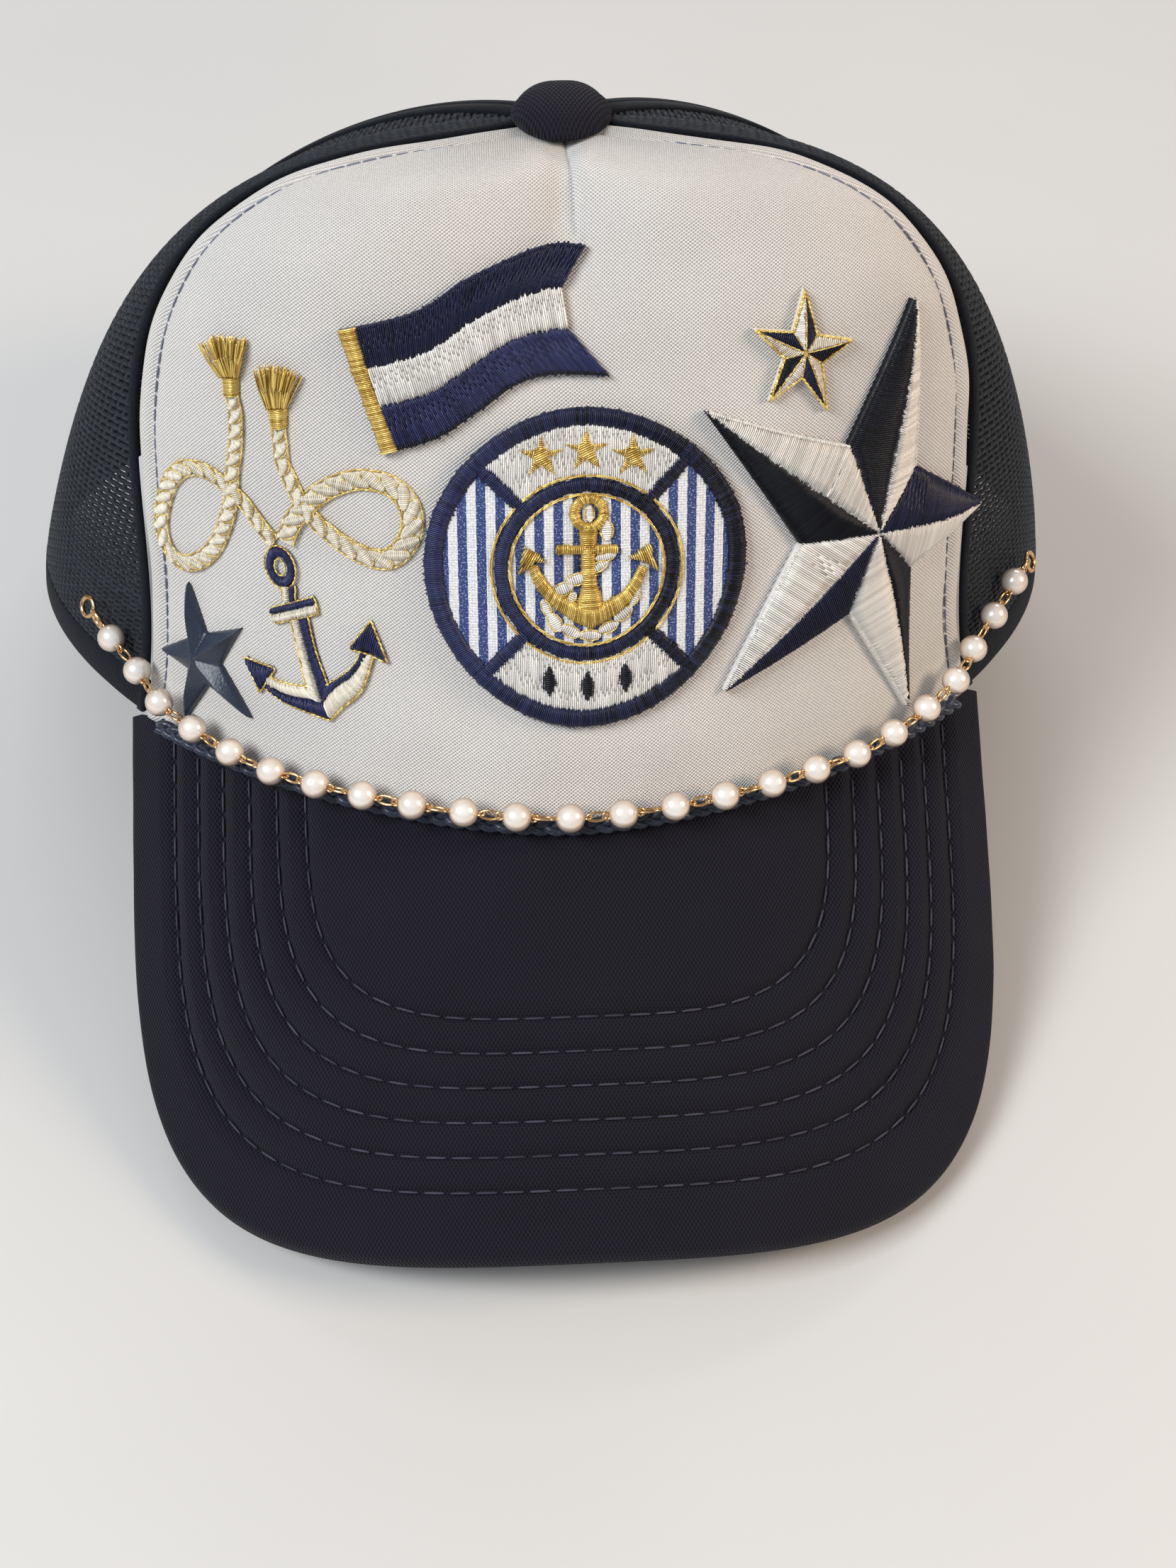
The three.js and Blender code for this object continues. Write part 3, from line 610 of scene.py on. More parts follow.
# %% [markdown]
# The cloths. Knit foam is a fine tricot glued on foam: tiny dots in staggered rows, well under
# a millimetre apart. Two waves multiplied together give such rows. The brim wears the same knit in
# navy, seen as fine ribs. Netting and binding are duller and nearly black.


# %% Cloth finishes
def knit_finish(name, low, high, pitch, depth, sheen):
    made = Finish(name, Roughness=0.85, Sheen_Weight=sheen, Sheen_Roughness=0.5, Specular_IOR_Level=0.12)
    x, y = made.axis(0), made.axis(1)
    row = made.math("MULTIPLY", made.wave(x, pitch[0]), made.wave(y, pitch[1]))
    offset = made.math("MULTIPLY", made.wave(x, pitch[0], math.pi), made.wave(y, pitch[1], math.pi))
    dots = made.math("ADD", row, offset)
    drift = made.noise(0.05, 3.0)
    fuzz = made.noise(2.5, 2.0)
    blend = made.math("MULTIPLY_ADD", dots, 0.6, made.math("MULTIPLY_ADD", drift, 0.15, 0.12))
    made.paint(made.ramp(blend, (0.15, low), (0.75, high)))
    made.bump(made.math("MULTIPLY_ADD", fuzz, 0.5, dots), depth)
    return made.made


WHITE_KNIT = knit_finish("white knit foam", colour("a5a09b"), colour("f3efea"), (0.72, 0.6), 0.22, 0.1)
NAVY_KNIT = knit_finish("navy knit foam", colour("040408"), colour("24222e"), (0.7, 1.1), 0.25, 0.05)


def plain_cloth(name, low, high, roughness, per_mm=1.2, depth=0.08, shine=0.2):
    made = Finish(name, Sheen_Weight=0.04, Roughness=roughness, Specular_IOR_Level=shine)
    grain = made.noise(per_mm, 3.0)
    blend = made.math("MULTIPLY_ADD", made.shade(), 0.5, made.math("MULTIPLY", grain, 0.5))
    made.paint(made.ramp(blend, (0.2, colour(low)), (0.8, colour(high))))
    made.bump(grain, depth)
    return made.made


NETTING = plain_cloth("navy netting", "10131a", "262b34", 0.6)
BINDING = plain_cloth("navy binding", "07090e", "191d26", 0.85, per_mm=1.6, depth=0.3, shine=0.1)
BRIM_THREAD = plain_cloth("brim stitching", "1f1e2a", "4a4857", 0.5, per_mm=4.0)
SEAM_THREAD = plain_cloth("seam stitching", "555b6c", "7c8294", 0.6, per_mm=4.0)
SLATE_CLOTH = plain_cloth("slate padded cloth", "101a29", "27374e", 0.38, per_mm=2.5, depth=0.10, shine=0.7)
STRAP = plain_cloth("moulded strap", "11131b", "1b1f2a", 0.38, per_mm=0.3, depth=0.02, shine=0.5)
print("cloths:", len(bpy.data.materials))

# %% [markdown]
# The threads. Satin thread is shiny along its length, and each stitch takes the light a little
# differently. Every stitch is modelled on its own, so the finish only needs that difference: each
# stitch carries a shade, and the finish blends two colours by it.


# %% Thread finishes
def thread_finish(name, low, high, roughness=0.42, **sockets):
    made = Finish(name, Sheen_Weight=0.05, Sheen_Roughness=0.3, Specular_IOR_Level=0.35, **sockets)
    made.paint(made.ramp(made.shade(), (0.0, colour(low)), (1.0, colour(high))))
    fibre = made.body_noise(3000.0, 2.0)
    made.rough(made.math("MULTIPLY_ADD", fibre, 0.25, roughness - 0.12))
    made.bump(fibre, 0.06)
    return made.made


THREAD = {
    "white": thread_finish("white satin thread", "d3cfc9", "f8f5ef", 0.36),
    "cream": thread_finish("cream satin thread", "d0c6b2", "f4eddd"),
    "navy": thread_finish("navy satin thread", "101229", "24284a"),
    "indigo": thread_finish("indigo satin thread", "1b1e3f", "353a66"),
    # The ring thread runs from near-black to a lit indigo, to carry the painted light on the badge's rings
    # and bars.
    "ring": thread_finish("ring satin thread with painted light", "07080f", "30365f"),
    "black": thread_finish("near-black satin thread", "07080f", "171924"),
    "satin": thread_finish("navy braid satin", "0c0e15", "434a5c", 0.28),
    "gold": thread_finish("gold thread", "a67c22", "ffe58c", 0.32, Metallic=0.5),
}
print("threads:", ", ".join(THREAD))

# %% [markdown]
# The badge's ground is cotton woven in blue and white stripes. A wave across the cloth is cut into
# two bands, a little noise makes their borders wander as loose threads do, and flecks of white
# break up the blue, where the lighter threads of the weave show through.

# %% Striped cotton
STRIPE = {"pitch": 3.08, "phase": 4.6, "wander": 0.25, "fleck_over": 0.60, "weave": 0.45}


def stripe_finish():
    made = Finish("woven stripes", Roughness=0.85, Sheen_Weight=0.1)
    x, y = made.axis(0), made.axis(1)
    wander = made.math("MULTIPLY_ADD", made.noise(0.8, 2.0), STRIPE["wander"], x)
    band = made.wave(wander, STRIPE["pitch"], STRIPE["phase"])
    fleck = made.math("GREATER_THAN", made.noise(3.4, 1.0), STRIPE["fleck_over"])
    blue = made.mix(fleck, colour("2a3c72"), colour("8794ba"))
    grey = made.ramp(made.noise(2.6, 1.0), (0.35, colour("c9cacb")), (0.6, colour("e9e9e7")))
    made.paint(made.mix(made.math("GREATER_THAN", band, 0.5), grey, blue))
    weave = made.math("MULTIPLY", made.wave(x, STRIPE["weave"]), made.wave(y, STRIPE["weave"]))
    made.bump(made.math("ADD", weave, made.noise(3.0)), 0.1)
    return made.made


STRIPES = stripe_finish()
print("a blue and a white stripe together are", STRIPE["pitch"], "mm wide")

# %% [markdown]
# A pearl is cloudy inside and has a clear skin, so it gets a coat over a soft body. Its edge
# is painted darker and warmer than its middle, a painted shade and reflection that Layer Weight
# blends in by the angle of view. Gold wire is plain metal whose polish varies a little. The floor
# only has to be pale and dull.


# %% Pearl, wire and floor
def pearl_finish():
    made = Finish("pearl", Roughness=0.22, Coat_Weight=1.0, Coat_Roughness=0.05, Metallic=0.25,
                  Specular_IOR_Level=0.8)
    # Painted shade and reflection: the colour darkens and warms from the middle towards the rim, as seen from
    # the camera.
    edge = made.node("LayerWeight", {"Blend": 0.4}).outputs["Facing"]
    cloud = made.body_noise(400.0, 2.0)
    tint = made.math("MULTIPLY_ADD", cloud, 0.3, edge)
    made.paint(made.ramp(tint, (0.12, colour("fdf9f2")), (0.45, colour("e6d3c0")), (0.8, colour("a89384"))))
    return made.made


def wire_finish():
    made = Finish("gold wire", Metallic=1.0, Coat_Weight=0.1)
    cloud = made.body_noise(900.0, 3.0)
    made.paint(made.ramp(cloud, (0.3, colour("c9925a")), (0.7, colour("f0cf9a"))))
    made.rough(made.math("MULTIPLY_ADD", cloud, 0.2, 0.14))
    return made.made


def floor_finish():
    made = Finish("pale floor", Roughness=0.7)
    cloud = made.body_noise(3.0, 4.0)
    made.paint(made.ramp(cloud, (0.3, colour("c6c5c3")), (0.7, colour("cfcdca"))))
    return made.made


PEARL = pearl_finish()
WIRE = wire_finish()
floor_mesh.materials.append(floor_finish())
print("finishes:", len(bpy.data.materials))

# %% [markdown]
# ## The front panel
#
# The panel is one piece of knit foam between two seams, closed at the top under the button. On
# the real hat the foam rolls under at both seams, a row of stitches holds it a few millimetres
# inside, and a dart makes a soft crease from the button down. We build it as a fine grid on the
# crown and press those three things into the outer skin, then add an inner skin one foam
# thickness below.

# %% Seams of the crown
HALF_UP, NEAR_TOP = np.array(0.6), np.array(1.2)


def front_seam(rise):
    """The angle of the front panel's seam, which swells on its way up."""
    return np.radians(SEAMS["front_low"] + SEAMS["front_swell"] * np.sin(2 * rise) ** 2
                      + SEAMS["front_top"] * np.sin(rise))


def largest(low, high, holds, rounds=36):
    """Halves a span again and again, down to the largest value for which a test still holds."""
    for _ in range(rounds):
        mid = (low + high) / 2
        fits = holds(mid)
        low, high = np.where(fits, mid, low), np.where(fits, high, mid)
    return low


def rise_at_radius(theta, radius):
    """The rise at which the crown comes within a plan distance of the button's middle."""
    theta = np.asarray(theta, float)

    def is_far(rise):
        p = crown_point(theta, rise)
        return np.hypot(p[..., 0] - CROWN["top_x"], p[..., 1] - CROWN["top_y"]) > radius

    return largest(np.zeros(theta.shape), np.full(theta.shape, math.pi / 2), is_far)


def soft_step(x):
    x = np.clip(x, 0, 1)
    return x * x * (3 - 2 * x)


def skirt_depth(theta):
    """How far the foam hangs below the rim, behind the braid."""
    span = CROWN["skirt_to"] - CROWN["skirt_from"]
    return CROWN["skirt"] * (1 - soft_step((np.degrees(np.abs(theta)) - CROWN["skirt_from"]) / span))


def seam_gap(theta, rise):
    """Half of the gap between two panels, as an angle."""
    return GAP / 2 / np.maximum(mm_per_radian(theta, rise), 1)


print("the button's hole starts at rise", round(float(rise_at_radius(0.0, BUTTON["hole"])), 2))

# %% Grid and dart of the foam panel
FOAM = {"roll": 1.6, "stitch_inside": 4.2, "stitch_depth": 0.8, "stitch_width": 0.9,
        "stitch_pitch": 2.6, "dart_from": 94.0, "dart_to": 101.0, "dart_depth": 1.1, "dart_width": 2.4,
        "seam_depth": 0.75, "seam_width": 0.55, "seam_lean": 1.5, "hills": 0.22, "rows": 150, "columns": 180}


def soft_noise(x, y, seed, sizes):
    """A gentle hilly surface from a few random waves. sizes are wave lengths in millimetres."""
    made = np.random.default_rng(seed)
    total = np.zeros(np.broadcast(x, y).shape)
    for size in sizes:
        for _ in range(4):
            angle, phase = made.uniform(0, TURN, 2)
            total += np.sin((x * math.cos(angle) + y * math.sin(angle)) * TURN / size + phase)
    return total / (2 * len(sizes))


def front_grid(rows, cols):
    """Angles of a grid over the front panel, with its columns closer together at the seams."""
    share = np.linspace(-1, 1, cols)
    share = np.sign(share) * (1 - (1 - np.abs(share)) ** 1.35)
    level = np.linspace(0, 1, rows)
    top = rise_at_radius(front_seam(HALF_UP) * share, BUTTON["hole"])
    rise = top[None, :] * level[:, None]
    theta = (front_seam(rise) - seam_gap(front_seam(rise), rise)) * share[None, :]
    return theta, rise


def dart_press(off_middle, run_up):
    """How deep the dart sinks: a soft crease, and a sharp seam in it that leans to one side."""
    crease = soft_step((run_up - FOAM["dart_from"]) / (FOAM["dart_to"] - FOAM["dart_from"]))
    press = FOAM["dart_depth"] * crease * np.exp(-(off_middle / FOAM["dart_width"]) ** 2)
    share = np.clip((run_up - FOAM["dart_from"]) / (front_tape.height - FOAM["dart_from"]), 0, 1)
    off_seam = np.abs(off_middle - FOAM["seam_lean"] * np.cos(share * math.pi / 2))
    return press + FOAM["seam_depth"] * soft_step(share * 8) * np.exp(-off_seam / FOAM["seam_width"])


theta, rise = front_grid(FOAM["rows"], FOAM["columns"])
print("front panel:", theta.size, "places")

# %% The foam panel's skin
skin = crown_point(theta, rise)
normal = crown_normal(theta, rise)
across = running_length(skin)
width = across[:, -1:]
up_run = running_length(skin.transpose(1, 0, 2)).T
middle_run = np.interp(rise, front_tape.rises, front_tape.lengths)
press = dart_press(skin[..., 0] - crown_point(0 * rise, rise)[..., 0], middle_run)
from_seam = np.minimum(across, width - across)
rolled = np.clip(1 - from_seam / FOAM["roll"], 0, 1)
press = press + FOAM["roll"] * (1 - np.sqrt(1 - rolled ** 2))
stitch_line = (from_seam - FOAM["stitch_inside"]) / FOAM["stitch_width"]
press = press + FOAM["stitch_depth"] * np.exp(-stitch_line ** 2)
hills = soft_noise(across - width / 2, up_run, 3, (30, 18)) * FOAM["hills"]
outer = skin + normal * (hills - press)[..., None]
inner = skin - normal * CROWN["foam"]
skirt_row = np.zeros_like(skin[:1])
skirt_row[..., 2] = -skirt_depth(theta[:1])
outer = np.concatenate([outer[:1] + skirt_row, outer])
inner = np.concatenate([inner[:1] + skirt_row, inner])
flat = np.stack([across - width / 2, up_run], -1)
flat = np.concatenate([flat[:1] - [0, CROWN["skirt"]], flat])
foam_panel = Piece("foam_front")
points, faces = shell(outer, inner)
foam_panel.add(points, faces, WHITE_KNIT, flat=np.concatenate([flat.reshape(-1, 2)] * 2))
print("front panel:", round(float(width.max()), 1), "mm at its widest")

# %% [markdown]
# Stitches are short capsules of thread, each half sunk in its groove. Many of them follow a line,
# so one helper lays a whole row: it walks along the line and sets a capsule at every pitch.


# %% Rows of stitches
def capsules(starts, ends, radius, ups, sides=6):
    """Closed round-ended stitches between pairs of points."""
    ahead = unit(ends - starts)
    side = unit(np.cross(ahead, ups))
    out = np.cross(side, ahead)
    rings = [(0.0, 0.25), (0.12, 0.8), (0.5, 1.0), (0.88, 0.8), (1.0, 0.25)]
    a = np.arange(sides) / sides * TURN
    count = len(starts)
    spoke = side[:, None] * np.cos(a)[None, :, None] + out[:, None] * np.sin(a)[None, :, None]
    points = np.zeros((count, len(rings), sides, 3))
    for r, (along, wide) in enumerate(rings):
        middle = starts + (ends - starts) * along
        points[:, r] = middle[:, None] + spoke * radius * wide
    one = grid_faces(len(rings), sides, wrap=True)
    base = np.arange(count)[:, None, None] * len(rings) * sides
    quads = (one[None] + base).reshape(-1, 4)
    first = np.arange(sides)[None, ::-1] + base[:, 0]
    last = np.arange(sides)[None, :] + (len(rings) - 1) * sides + base[:, 0]
    return points.reshape(-1, 3), [quads, first, last], len(rings) * sides


def stitch_row(piece, line, normals, pitch, share, radius, finish, sink=0.0):
    """Stitches along a line, each covering a share of the pitch."""
    run = running_length(line)
    count = int(run[-1] / pitch)
    begin = (np.arange(count) + 0.5 * (1 - share)) * pitch
    up = at_lengths(normals, run, begin + pitch * share / 2)
    starts = at_lengths(line, run, begin) - up * sink
    ends = at_lengths(line, run, begin + pitch * share) - up * sink
    points, faces, per = capsules(starts, ends, radius, up)
    piece.add(points, faces, finish, np.repeat(chance.uniform(0.2, 0.8, count), per))
    return count


rises = np.linspace(0.03, 1.5, 260)
seam = front_seam(rises)
inside = seam - FOAM["stitch_inside"] / mm_per_radian(seam, rises)
kept = inside > 0.05
depth = np.full(rises.shape, 0.12 - FOAM["stitch_depth"])
for side in (-1, 1):
    line = crown_out(side * inside, rises, depth)[kept]
    normals = crown_normal(side * inside, rises)[kept]
    sewn = stitch_row(foam_panel, line, normals, FOAM["stitch_pitch"], 0.9, 0.19, SEAM_THREAD)
    print("stitches inside one seam:", sewn)
foam_panel.done("front_panel")

# %% [markdown]
# ## The netting panels
#
# Trucker netting is a warp-knitted net: upright ribs with open holes between them, staggered
# from one column to the next. We lay a honeycomb lattice on each panel by tape measure, keep the
# strands that fall inside the seams, and make each strand a small closed bar. The raw ends are
# hidden, as on the real hat, under flat bindings along the seams, the rim and the arch.

# %% Panel borders
ARCH = {"half_angle": 29.0, "height": 0.46}
BACK_SEAM = math.radians(SEAMS["side_to_back"])


def straight_seam(angle):
    """A seam that keeps to one angle all the way up."""
    return lambda rise: angle + 0 * rise


def left_front_seam(rise):
    return -front_seam(rise)


def plain_rim(theta):
    return 0 * theta


def arch_rise(theta):
    """The rise of the arch over the strap, and 0 beside it."""
    x = (SEAMS["back"] - np.degrees(np.abs(theta))) / ARCH["half_angle"]
    return np.where(x < 1, ARCH["height"] * np.sqrt(np.clip(1 - x * x, 0, 1)), 0)


PANELS = {
    "side_mesh_left": {"edges": (straight_seam(-BACK_SEAM), left_front_seam), "low": plain_rim},
    "side_mesh_right": {"edges": (front_seam, straight_seam(BACK_SEAM)), "low": plain_rim},
    "back_mesh_left": {"edges": (straight_seam(-math.pi), straight_seam(-BACK_SEAM)), "low": arch_rise},
    "back_mesh_right": {"edges": (straight_seam(BACK_SEAM), straight_seam(math.pi)), "low": arch_rise},
}
print("netting panels:", len(PANELS))

# %% Honeycomb and its strands
NET = {"across": 2.2, "up": 2.5, "half_rib": 0.28, "rib": 0.64, "slant": 0.58, "thick": 0.32,
       "overlap": 0.3, "margin": 0.8, "half_width": 95, "spread": 1.2}


def honeycomb(half_width, height):
    """Strand ends of a honeycomb, as across and up. Ribs stand upright, slants join them."""
    columns = np.arange(-int(half_width / NET["across"]) - 1, int(half_width / NET["across"]) + 2)
    rows = np.arange(-1, int(height / NET["up"]) + 2)
    i, j = (v.ravel() for v in np.meshgrid(columns, rows, indexing="ij"))
    x = i * NET["across"]
    y = (j + 0.5 * (i % 2)) * NET["up"]
    reach = NET["up"] * NET["half_rib"]
    low, high = np.stack([x, y - reach], -1), np.stack([x, y + reach], -1)
    step = np.array([NET["across"], 0.5 * NET["up"]])
    starts = np.concatenate([low, high, high])
    ends = np.concatenate([high, low + step, low + step * [-1, 1]])
    wide = np.repeat([NET["rib"], NET["slant"], NET["slant"]], len(x))
    return starts, ends, wide


def bars(starts, ends, outs, wide, thick):
    """Closed four-sided bars, with the flat side against the crown."""
    ahead = unit(ends - starts)
    side = np.cross(ahead, outs)
    half = wide[:, None] * side
    lift = outs * thick
    reach = ahead * wide[:, None] * NET["overlap"]
    a, b = starts - reach, ends + reach
    points = np.stack([a + half, a + lift, a - half, a - lift, b + half, b + lift, b - half, b - lift], 1)
    one = np.array([[0, 1, 5, 4], [1, 2, 6, 5], [2, 3, 7, 6], [3, 0, 4, 7], [3, 2, 1, 0], [4, 5, 6, 7]])
    per = points.shape[1]
    faces = (one[None] + np.arange(len(starts))[:, None, None] * per).reshape(-1, 4)
    return points.reshape(-1, 3), [faces], per


print("a honeycomb a centimetre wide and high starts with", len(honeycomb(5, 10)[0]), "strands")


# %% Strands of one panel
def net_strands(piece, middle, edges, low):
    """Lays the honeycomb on one panel and keeps the strands that fall inside its borders."""
    tape = Tape(middle, spread=NET["spread"])
    starts, ends, wide = honeycomb(NET["half_width"], tape.height)
    keep = np.ones(len(starts), bool)
    for end in (starts, ends):
        theta, rise = tape.angles(end)
        margin = NET["margin"] / np.maximum(mm_per_radian(theta, rise), 1)
        keep &= (theta > edges[0](rise) + margin) & (theta < edges[1](rise) - margin)
        keep &= (rise > low(theta) + 0.02) & (end[:, 1] > 0.5)
        keep &= rise < rise_at_radius(theta, BUTTON["hole"] + 1.0)
    starts, ends, wide = starts[keep], ends[keep], wide[keep]
    a, b = tape.place(starts, -CROWN["net"] / 2), tape.place(ends, -CROWN["net"] / 2)
    outs = crown_normal(*tape.angles((starts + ends) / 2))
    points, faces, per = bars(a, b, outs, wide, NET["thick"])
    piece.add(points, faces, NETTING, np.repeat(chance.uniform(0.2, 0.8, len(a)), per))
    return len(a)


print("strands stay", NET["margin"], "mm inside the seams")

# %% Bindings
BAND = {"front_seam": 2.0, "seam": 3.2, "widest": 0.5, "thick": 0.4, "thin_edge": 0.35, "slit": 0.04,
        "rows": 120}


def binding(piece, theta, rise, out, thick):
    """A flat band of cloth over a grid of places, with softly rounded long edges."""
    rows, cols = theta.shape
    edge = np.minimum(np.arange(cols), np.arange(cols)[::-1])
    swell = np.where(edge == 0, BAND["thin_edge"], 1.0)[None, :] * np.ones((rows, 1))
    normal = crown_normal(theta, rise)
    skin = crown_point(theta, rise)
    top = skin + normal * (out + thick * swell)[..., None]
    under = skin + normal * (out - thick * swell)[..., None]
    points, faces = shell(top, under)
    run = running_length(skin)
    up_run = running_length(skin.transpose(1, 0, 2)).T
    flat = np.stack([run, up_run], -1).reshape(-1, 2)
    shade = np.tile(0.45 + 0.1 * np.sin(up_run.ravel() * 2.2), 2)
    piece.add(points, faces, BINDING, shade, np.concatenate([flat, flat]))


def seam_bindings(piece, edges, low):
    """A band along both seams of a panel, from the rim to the button."""
    share = np.array([0, 0.08, 0.5, 0.92, 1])
    for seam, inward in zip(edges, (1, -1)):
        foot = seam(np.array(0.0))
        start = low(foot)
        top = rise_at_radius(seam(NEAR_TOP), BUTTON["hole"])
        rise = start + (top - start) * np.linspace(0, 1, BAND["rows"])
        theta = seam(rise)
        scale = np.maximum(mm_per_radian(theta, rise), 1)
        gap = BAND["slit"] / scale
        in_front = abs(float(foot)) < math.pi / 2
        wide = np.minimum(BAND["front_seam" if in_front else "seam"] / scale, BAND["widest"])
        grid = theta[:, None] + inward * (gap[:, None] + (wide - gap)[:, None] * share[None, :])
        if inward < 0:
            grid = grid[:, ::-1]
        binding(piece, grid, np.broadcast_to(rise[:, None], grid.shape), -0.6 * BAND["thick"], BAND["thick"])


print("the bindings are", BAND["front_seam"], "and", BAND["seam"], "mm wide")

# %% Hem, and the four panels
HEM = {"height": 7.0, "columns": 140, "end_gap": 0.002, "search": 0.6, "steps": 60}


def hem(piece, edges, low):
    """The folded hem along the rim, which follows the arch where the panel has one."""
    share = np.array([0, 0.06, 0.5, 0.94, 1])
    theta_low, theta_high = (seam(np.array(0.0)) for seam in edges)
    theta = np.linspace(theta_low + HEM["end_gap"], theta_high - HEM["end_gap"], HEM["columns"])
    start = low(theta)
    rises = np.linspace(0, HEM["search"], HEM["steps"])
    lengths = running_length(crown_point(theta[:, None], start[:, None] + rises[None, :]))
    spans = np.array([np.interp(HEM["height"], row, rises) for row in lengths])
    rise = start[:, None] + spans[:, None] * share[None, :]
    grid = np.broadcast_to(theta[:, None], rise.shape)
    binding(piece, grid[:, ::-1], rise[:, ::-1], -CROWN["net"] / 2, BAND["thick"])


for name, panel in PANELS.items():
    net = Piece(name.replace("mesh", "net"))
    middle = float(sum(seam(HALF_UP) for seam in panel["edges"]) / 2)
    strands = net_strands(net, middle, panel["edges"], panel["low"])
    seam_bindings(net, panel["edges"], panel["low"])
    hem(net, panel["edges"], panel["low"])
    print(name, "has", strands, "strands")
    net.done(name)

# %% [markdown]
# ## The brim
#
# The brim is stiff board between two layers of knit foam, sewn together by six rows of stitches
# that follow its edge. Between two rows the foam swells a little. The grid's columns run from
# the edge inwards, so a row of stitches is a line at one inset, and the swell is a function of
# that inset alone.

# %% Brim outline
BRIM_GRID = {"straight_from": -36, "straight": 20, "curve": 220, "beyond": 6.0, "least_reach": 2.5}


def brim_place(side, back, turn, inset):
    """Across and ahead on the flat brim. side is -1 or 1 on the straight parts, 0 on the curve."""
    a = np.maximum(BRIM["half_arc"] - inset, 0)
    b = np.maximum(BRIM["length"] - BRIM["straight_to"] - inset, 0)
    c, s = np.cos(turn), np.sin(turn)
    n = BRIM["corner_power"]
    size = (np.abs(c) ** n + np.abs(s) ** n) ** (1 / n)
    x = np.where(side == 0, -a * c / size, side * a)
    y = np.where(side == 0, BRIM["straight_to"] + b * s / size, back)
    return x, y


def brim_columns(straight, curve):
    """The feet of the columns along the edge, from the left end round to the right one."""
    back = np.linspace(BRIM_GRID["straight_from"], BRIM["straight_to"], straight, endpoint=False)
    turn = np.linspace(0, math.pi, curve)
    side = np.concatenate([np.full(straight, -1), np.zeros(curve), np.full(straight, 1)])
    backs = np.concatenate([back, np.zeros(curve), back[::-1]])
    turns = np.concatenate([np.zeros(straight), turn, np.zeros(straight)])
    return side, backs, turns


def outside_crown(side, back, turn, inset):
    points, _ = brim_sheet(*brim_place(side, back, turn, inset))
    x = np.abs(points[..., 0]) / (RIM["half_width"] + GAP)
    y = np.abs(points[..., 1]) / (RIM["front"] + GAP)
    return (x ** RIM["front_power"] + y ** RIM["front_power"] > 1) & (points[..., 1] < 0)


def brim_reach(side, back, turn):
    """How far each column runs in from the edge before it meets the crown."""
    edge, beyond = np.zeros(len(side)), np.full(len(side), BRIM["length"] + BRIM_GRID["beyond"])
    reach = largest(edge, beyond, lambda inset: outside_crown(side, back, turn, inset))
    return np.where(outside_crown(side, back, turn, edge), reach, 0)


side, backs, turns = brim_columns(BRIM_GRID["straight"], BRIM_GRID["curve"])
reach = brim_reach(side, backs, turns)
used = reach > BRIM_GRID["least_reach"]
side, backs, turns, reach = side[used], backs[used], turns[used], reach[used]
print("columns that reach the crown:", len(reach))

# %% Brim padding
ROW_INSETS = BRIM["first_row"] + BRIM["row_pitch"] * np.arange(BRIM["rows"])
PAD = {"groove": 0.8, "groove_width": 0.8, "swell": 0.5, "edge": 3.0, "hills": 0.12}


def padding(inset):
    """How far the outer cloth lies below the plain sheet."""
    near = np.min(np.abs(inset[..., None] - ROW_INSETS), -1)
    groove = PAD["groove"] * np.exp(-(near / PAD["groove_width"]) ** 2)
    between = np.clip(1 - (near / (BRIM["row_pitch"] / 2)) ** 2, 0, 1) * PAD["swell"]
    edge = np.clip(1 - inset / PAD["edge"], 0, 1)
    return groove + between * (near < BRIM["row_pitch"] / 2) + BRIM["thickness"] / 2 * edge ** 3


# Fine steps round the edge, even ones over the rows of stitches, and coarse ones inside them.
insets = np.concatenate([np.linspace(0, 3, 10), np.arange(3.5, 43, 0.47), np.linspace(44, 84, 20)])
inset = np.minimum(insets[:, None], reach[None, :])
flat_x, flat_y = brim_place(side[None, :], backs[None, :], turns[None, :], inset)
sheet, normal = brim_sheet(flat_x, flat_y)
sink = padding(inset)
hills = soft_noise(flat_x, flat_y, 8, (22, 13)) * PAD["hills"] * np.clip(inset / 4, 0, 1)
top = sheet + normal * (hills - sink)[..., None]
under = sheet - normal * (BRIM["thickness"] - sink + hills)[..., None]
padded_brim = Piece("padded_brim")
points, faces = shell(top, under)
flat = np.stack([flat_x, flat_y], -1).reshape(-1, 2)
padded_brim.add(points, faces, NAVY_KNIT, flat=np.concatenate([flat, flat]))
print("rows lie", np.round(ROW_INSETS, 1), "mm from the edge")

# %% Stitches of the brim
BRIM_STITCH = {"pitch": 4.4, "share": 0.8, "radius": 0.22, "sink": 0.03}
for row in ROW_INSETS:
    full = reach > row + 1
    line, up = brim_sheet(*brim_place(side[full], backs[full], turns[full], row))
    for depth, outward in ((PAD["groove"], up), (BRIM["thickness"] - PAD["groove"], -up)):
        stitch_row(padded_brim, line - up * depth, outward, BRIM_STITCH["pitch"], BRIM_STITCH["share"],
                   BRIM_STITCH["radius"], BRIM_THREAD, sink=BRIM_STITCH["sink"])
brim_made = padded_brim.done("brim", weld=True)
print("brim length on its middle line:", BRIM["length"], "mm")

# %% [markdown]
# ## The covered button and the strap
#
# The button is a metal dome covered in the brim's knit, with its edge tucked under. The strap is a
# plain plastic strip across the arch, with rounded edges.


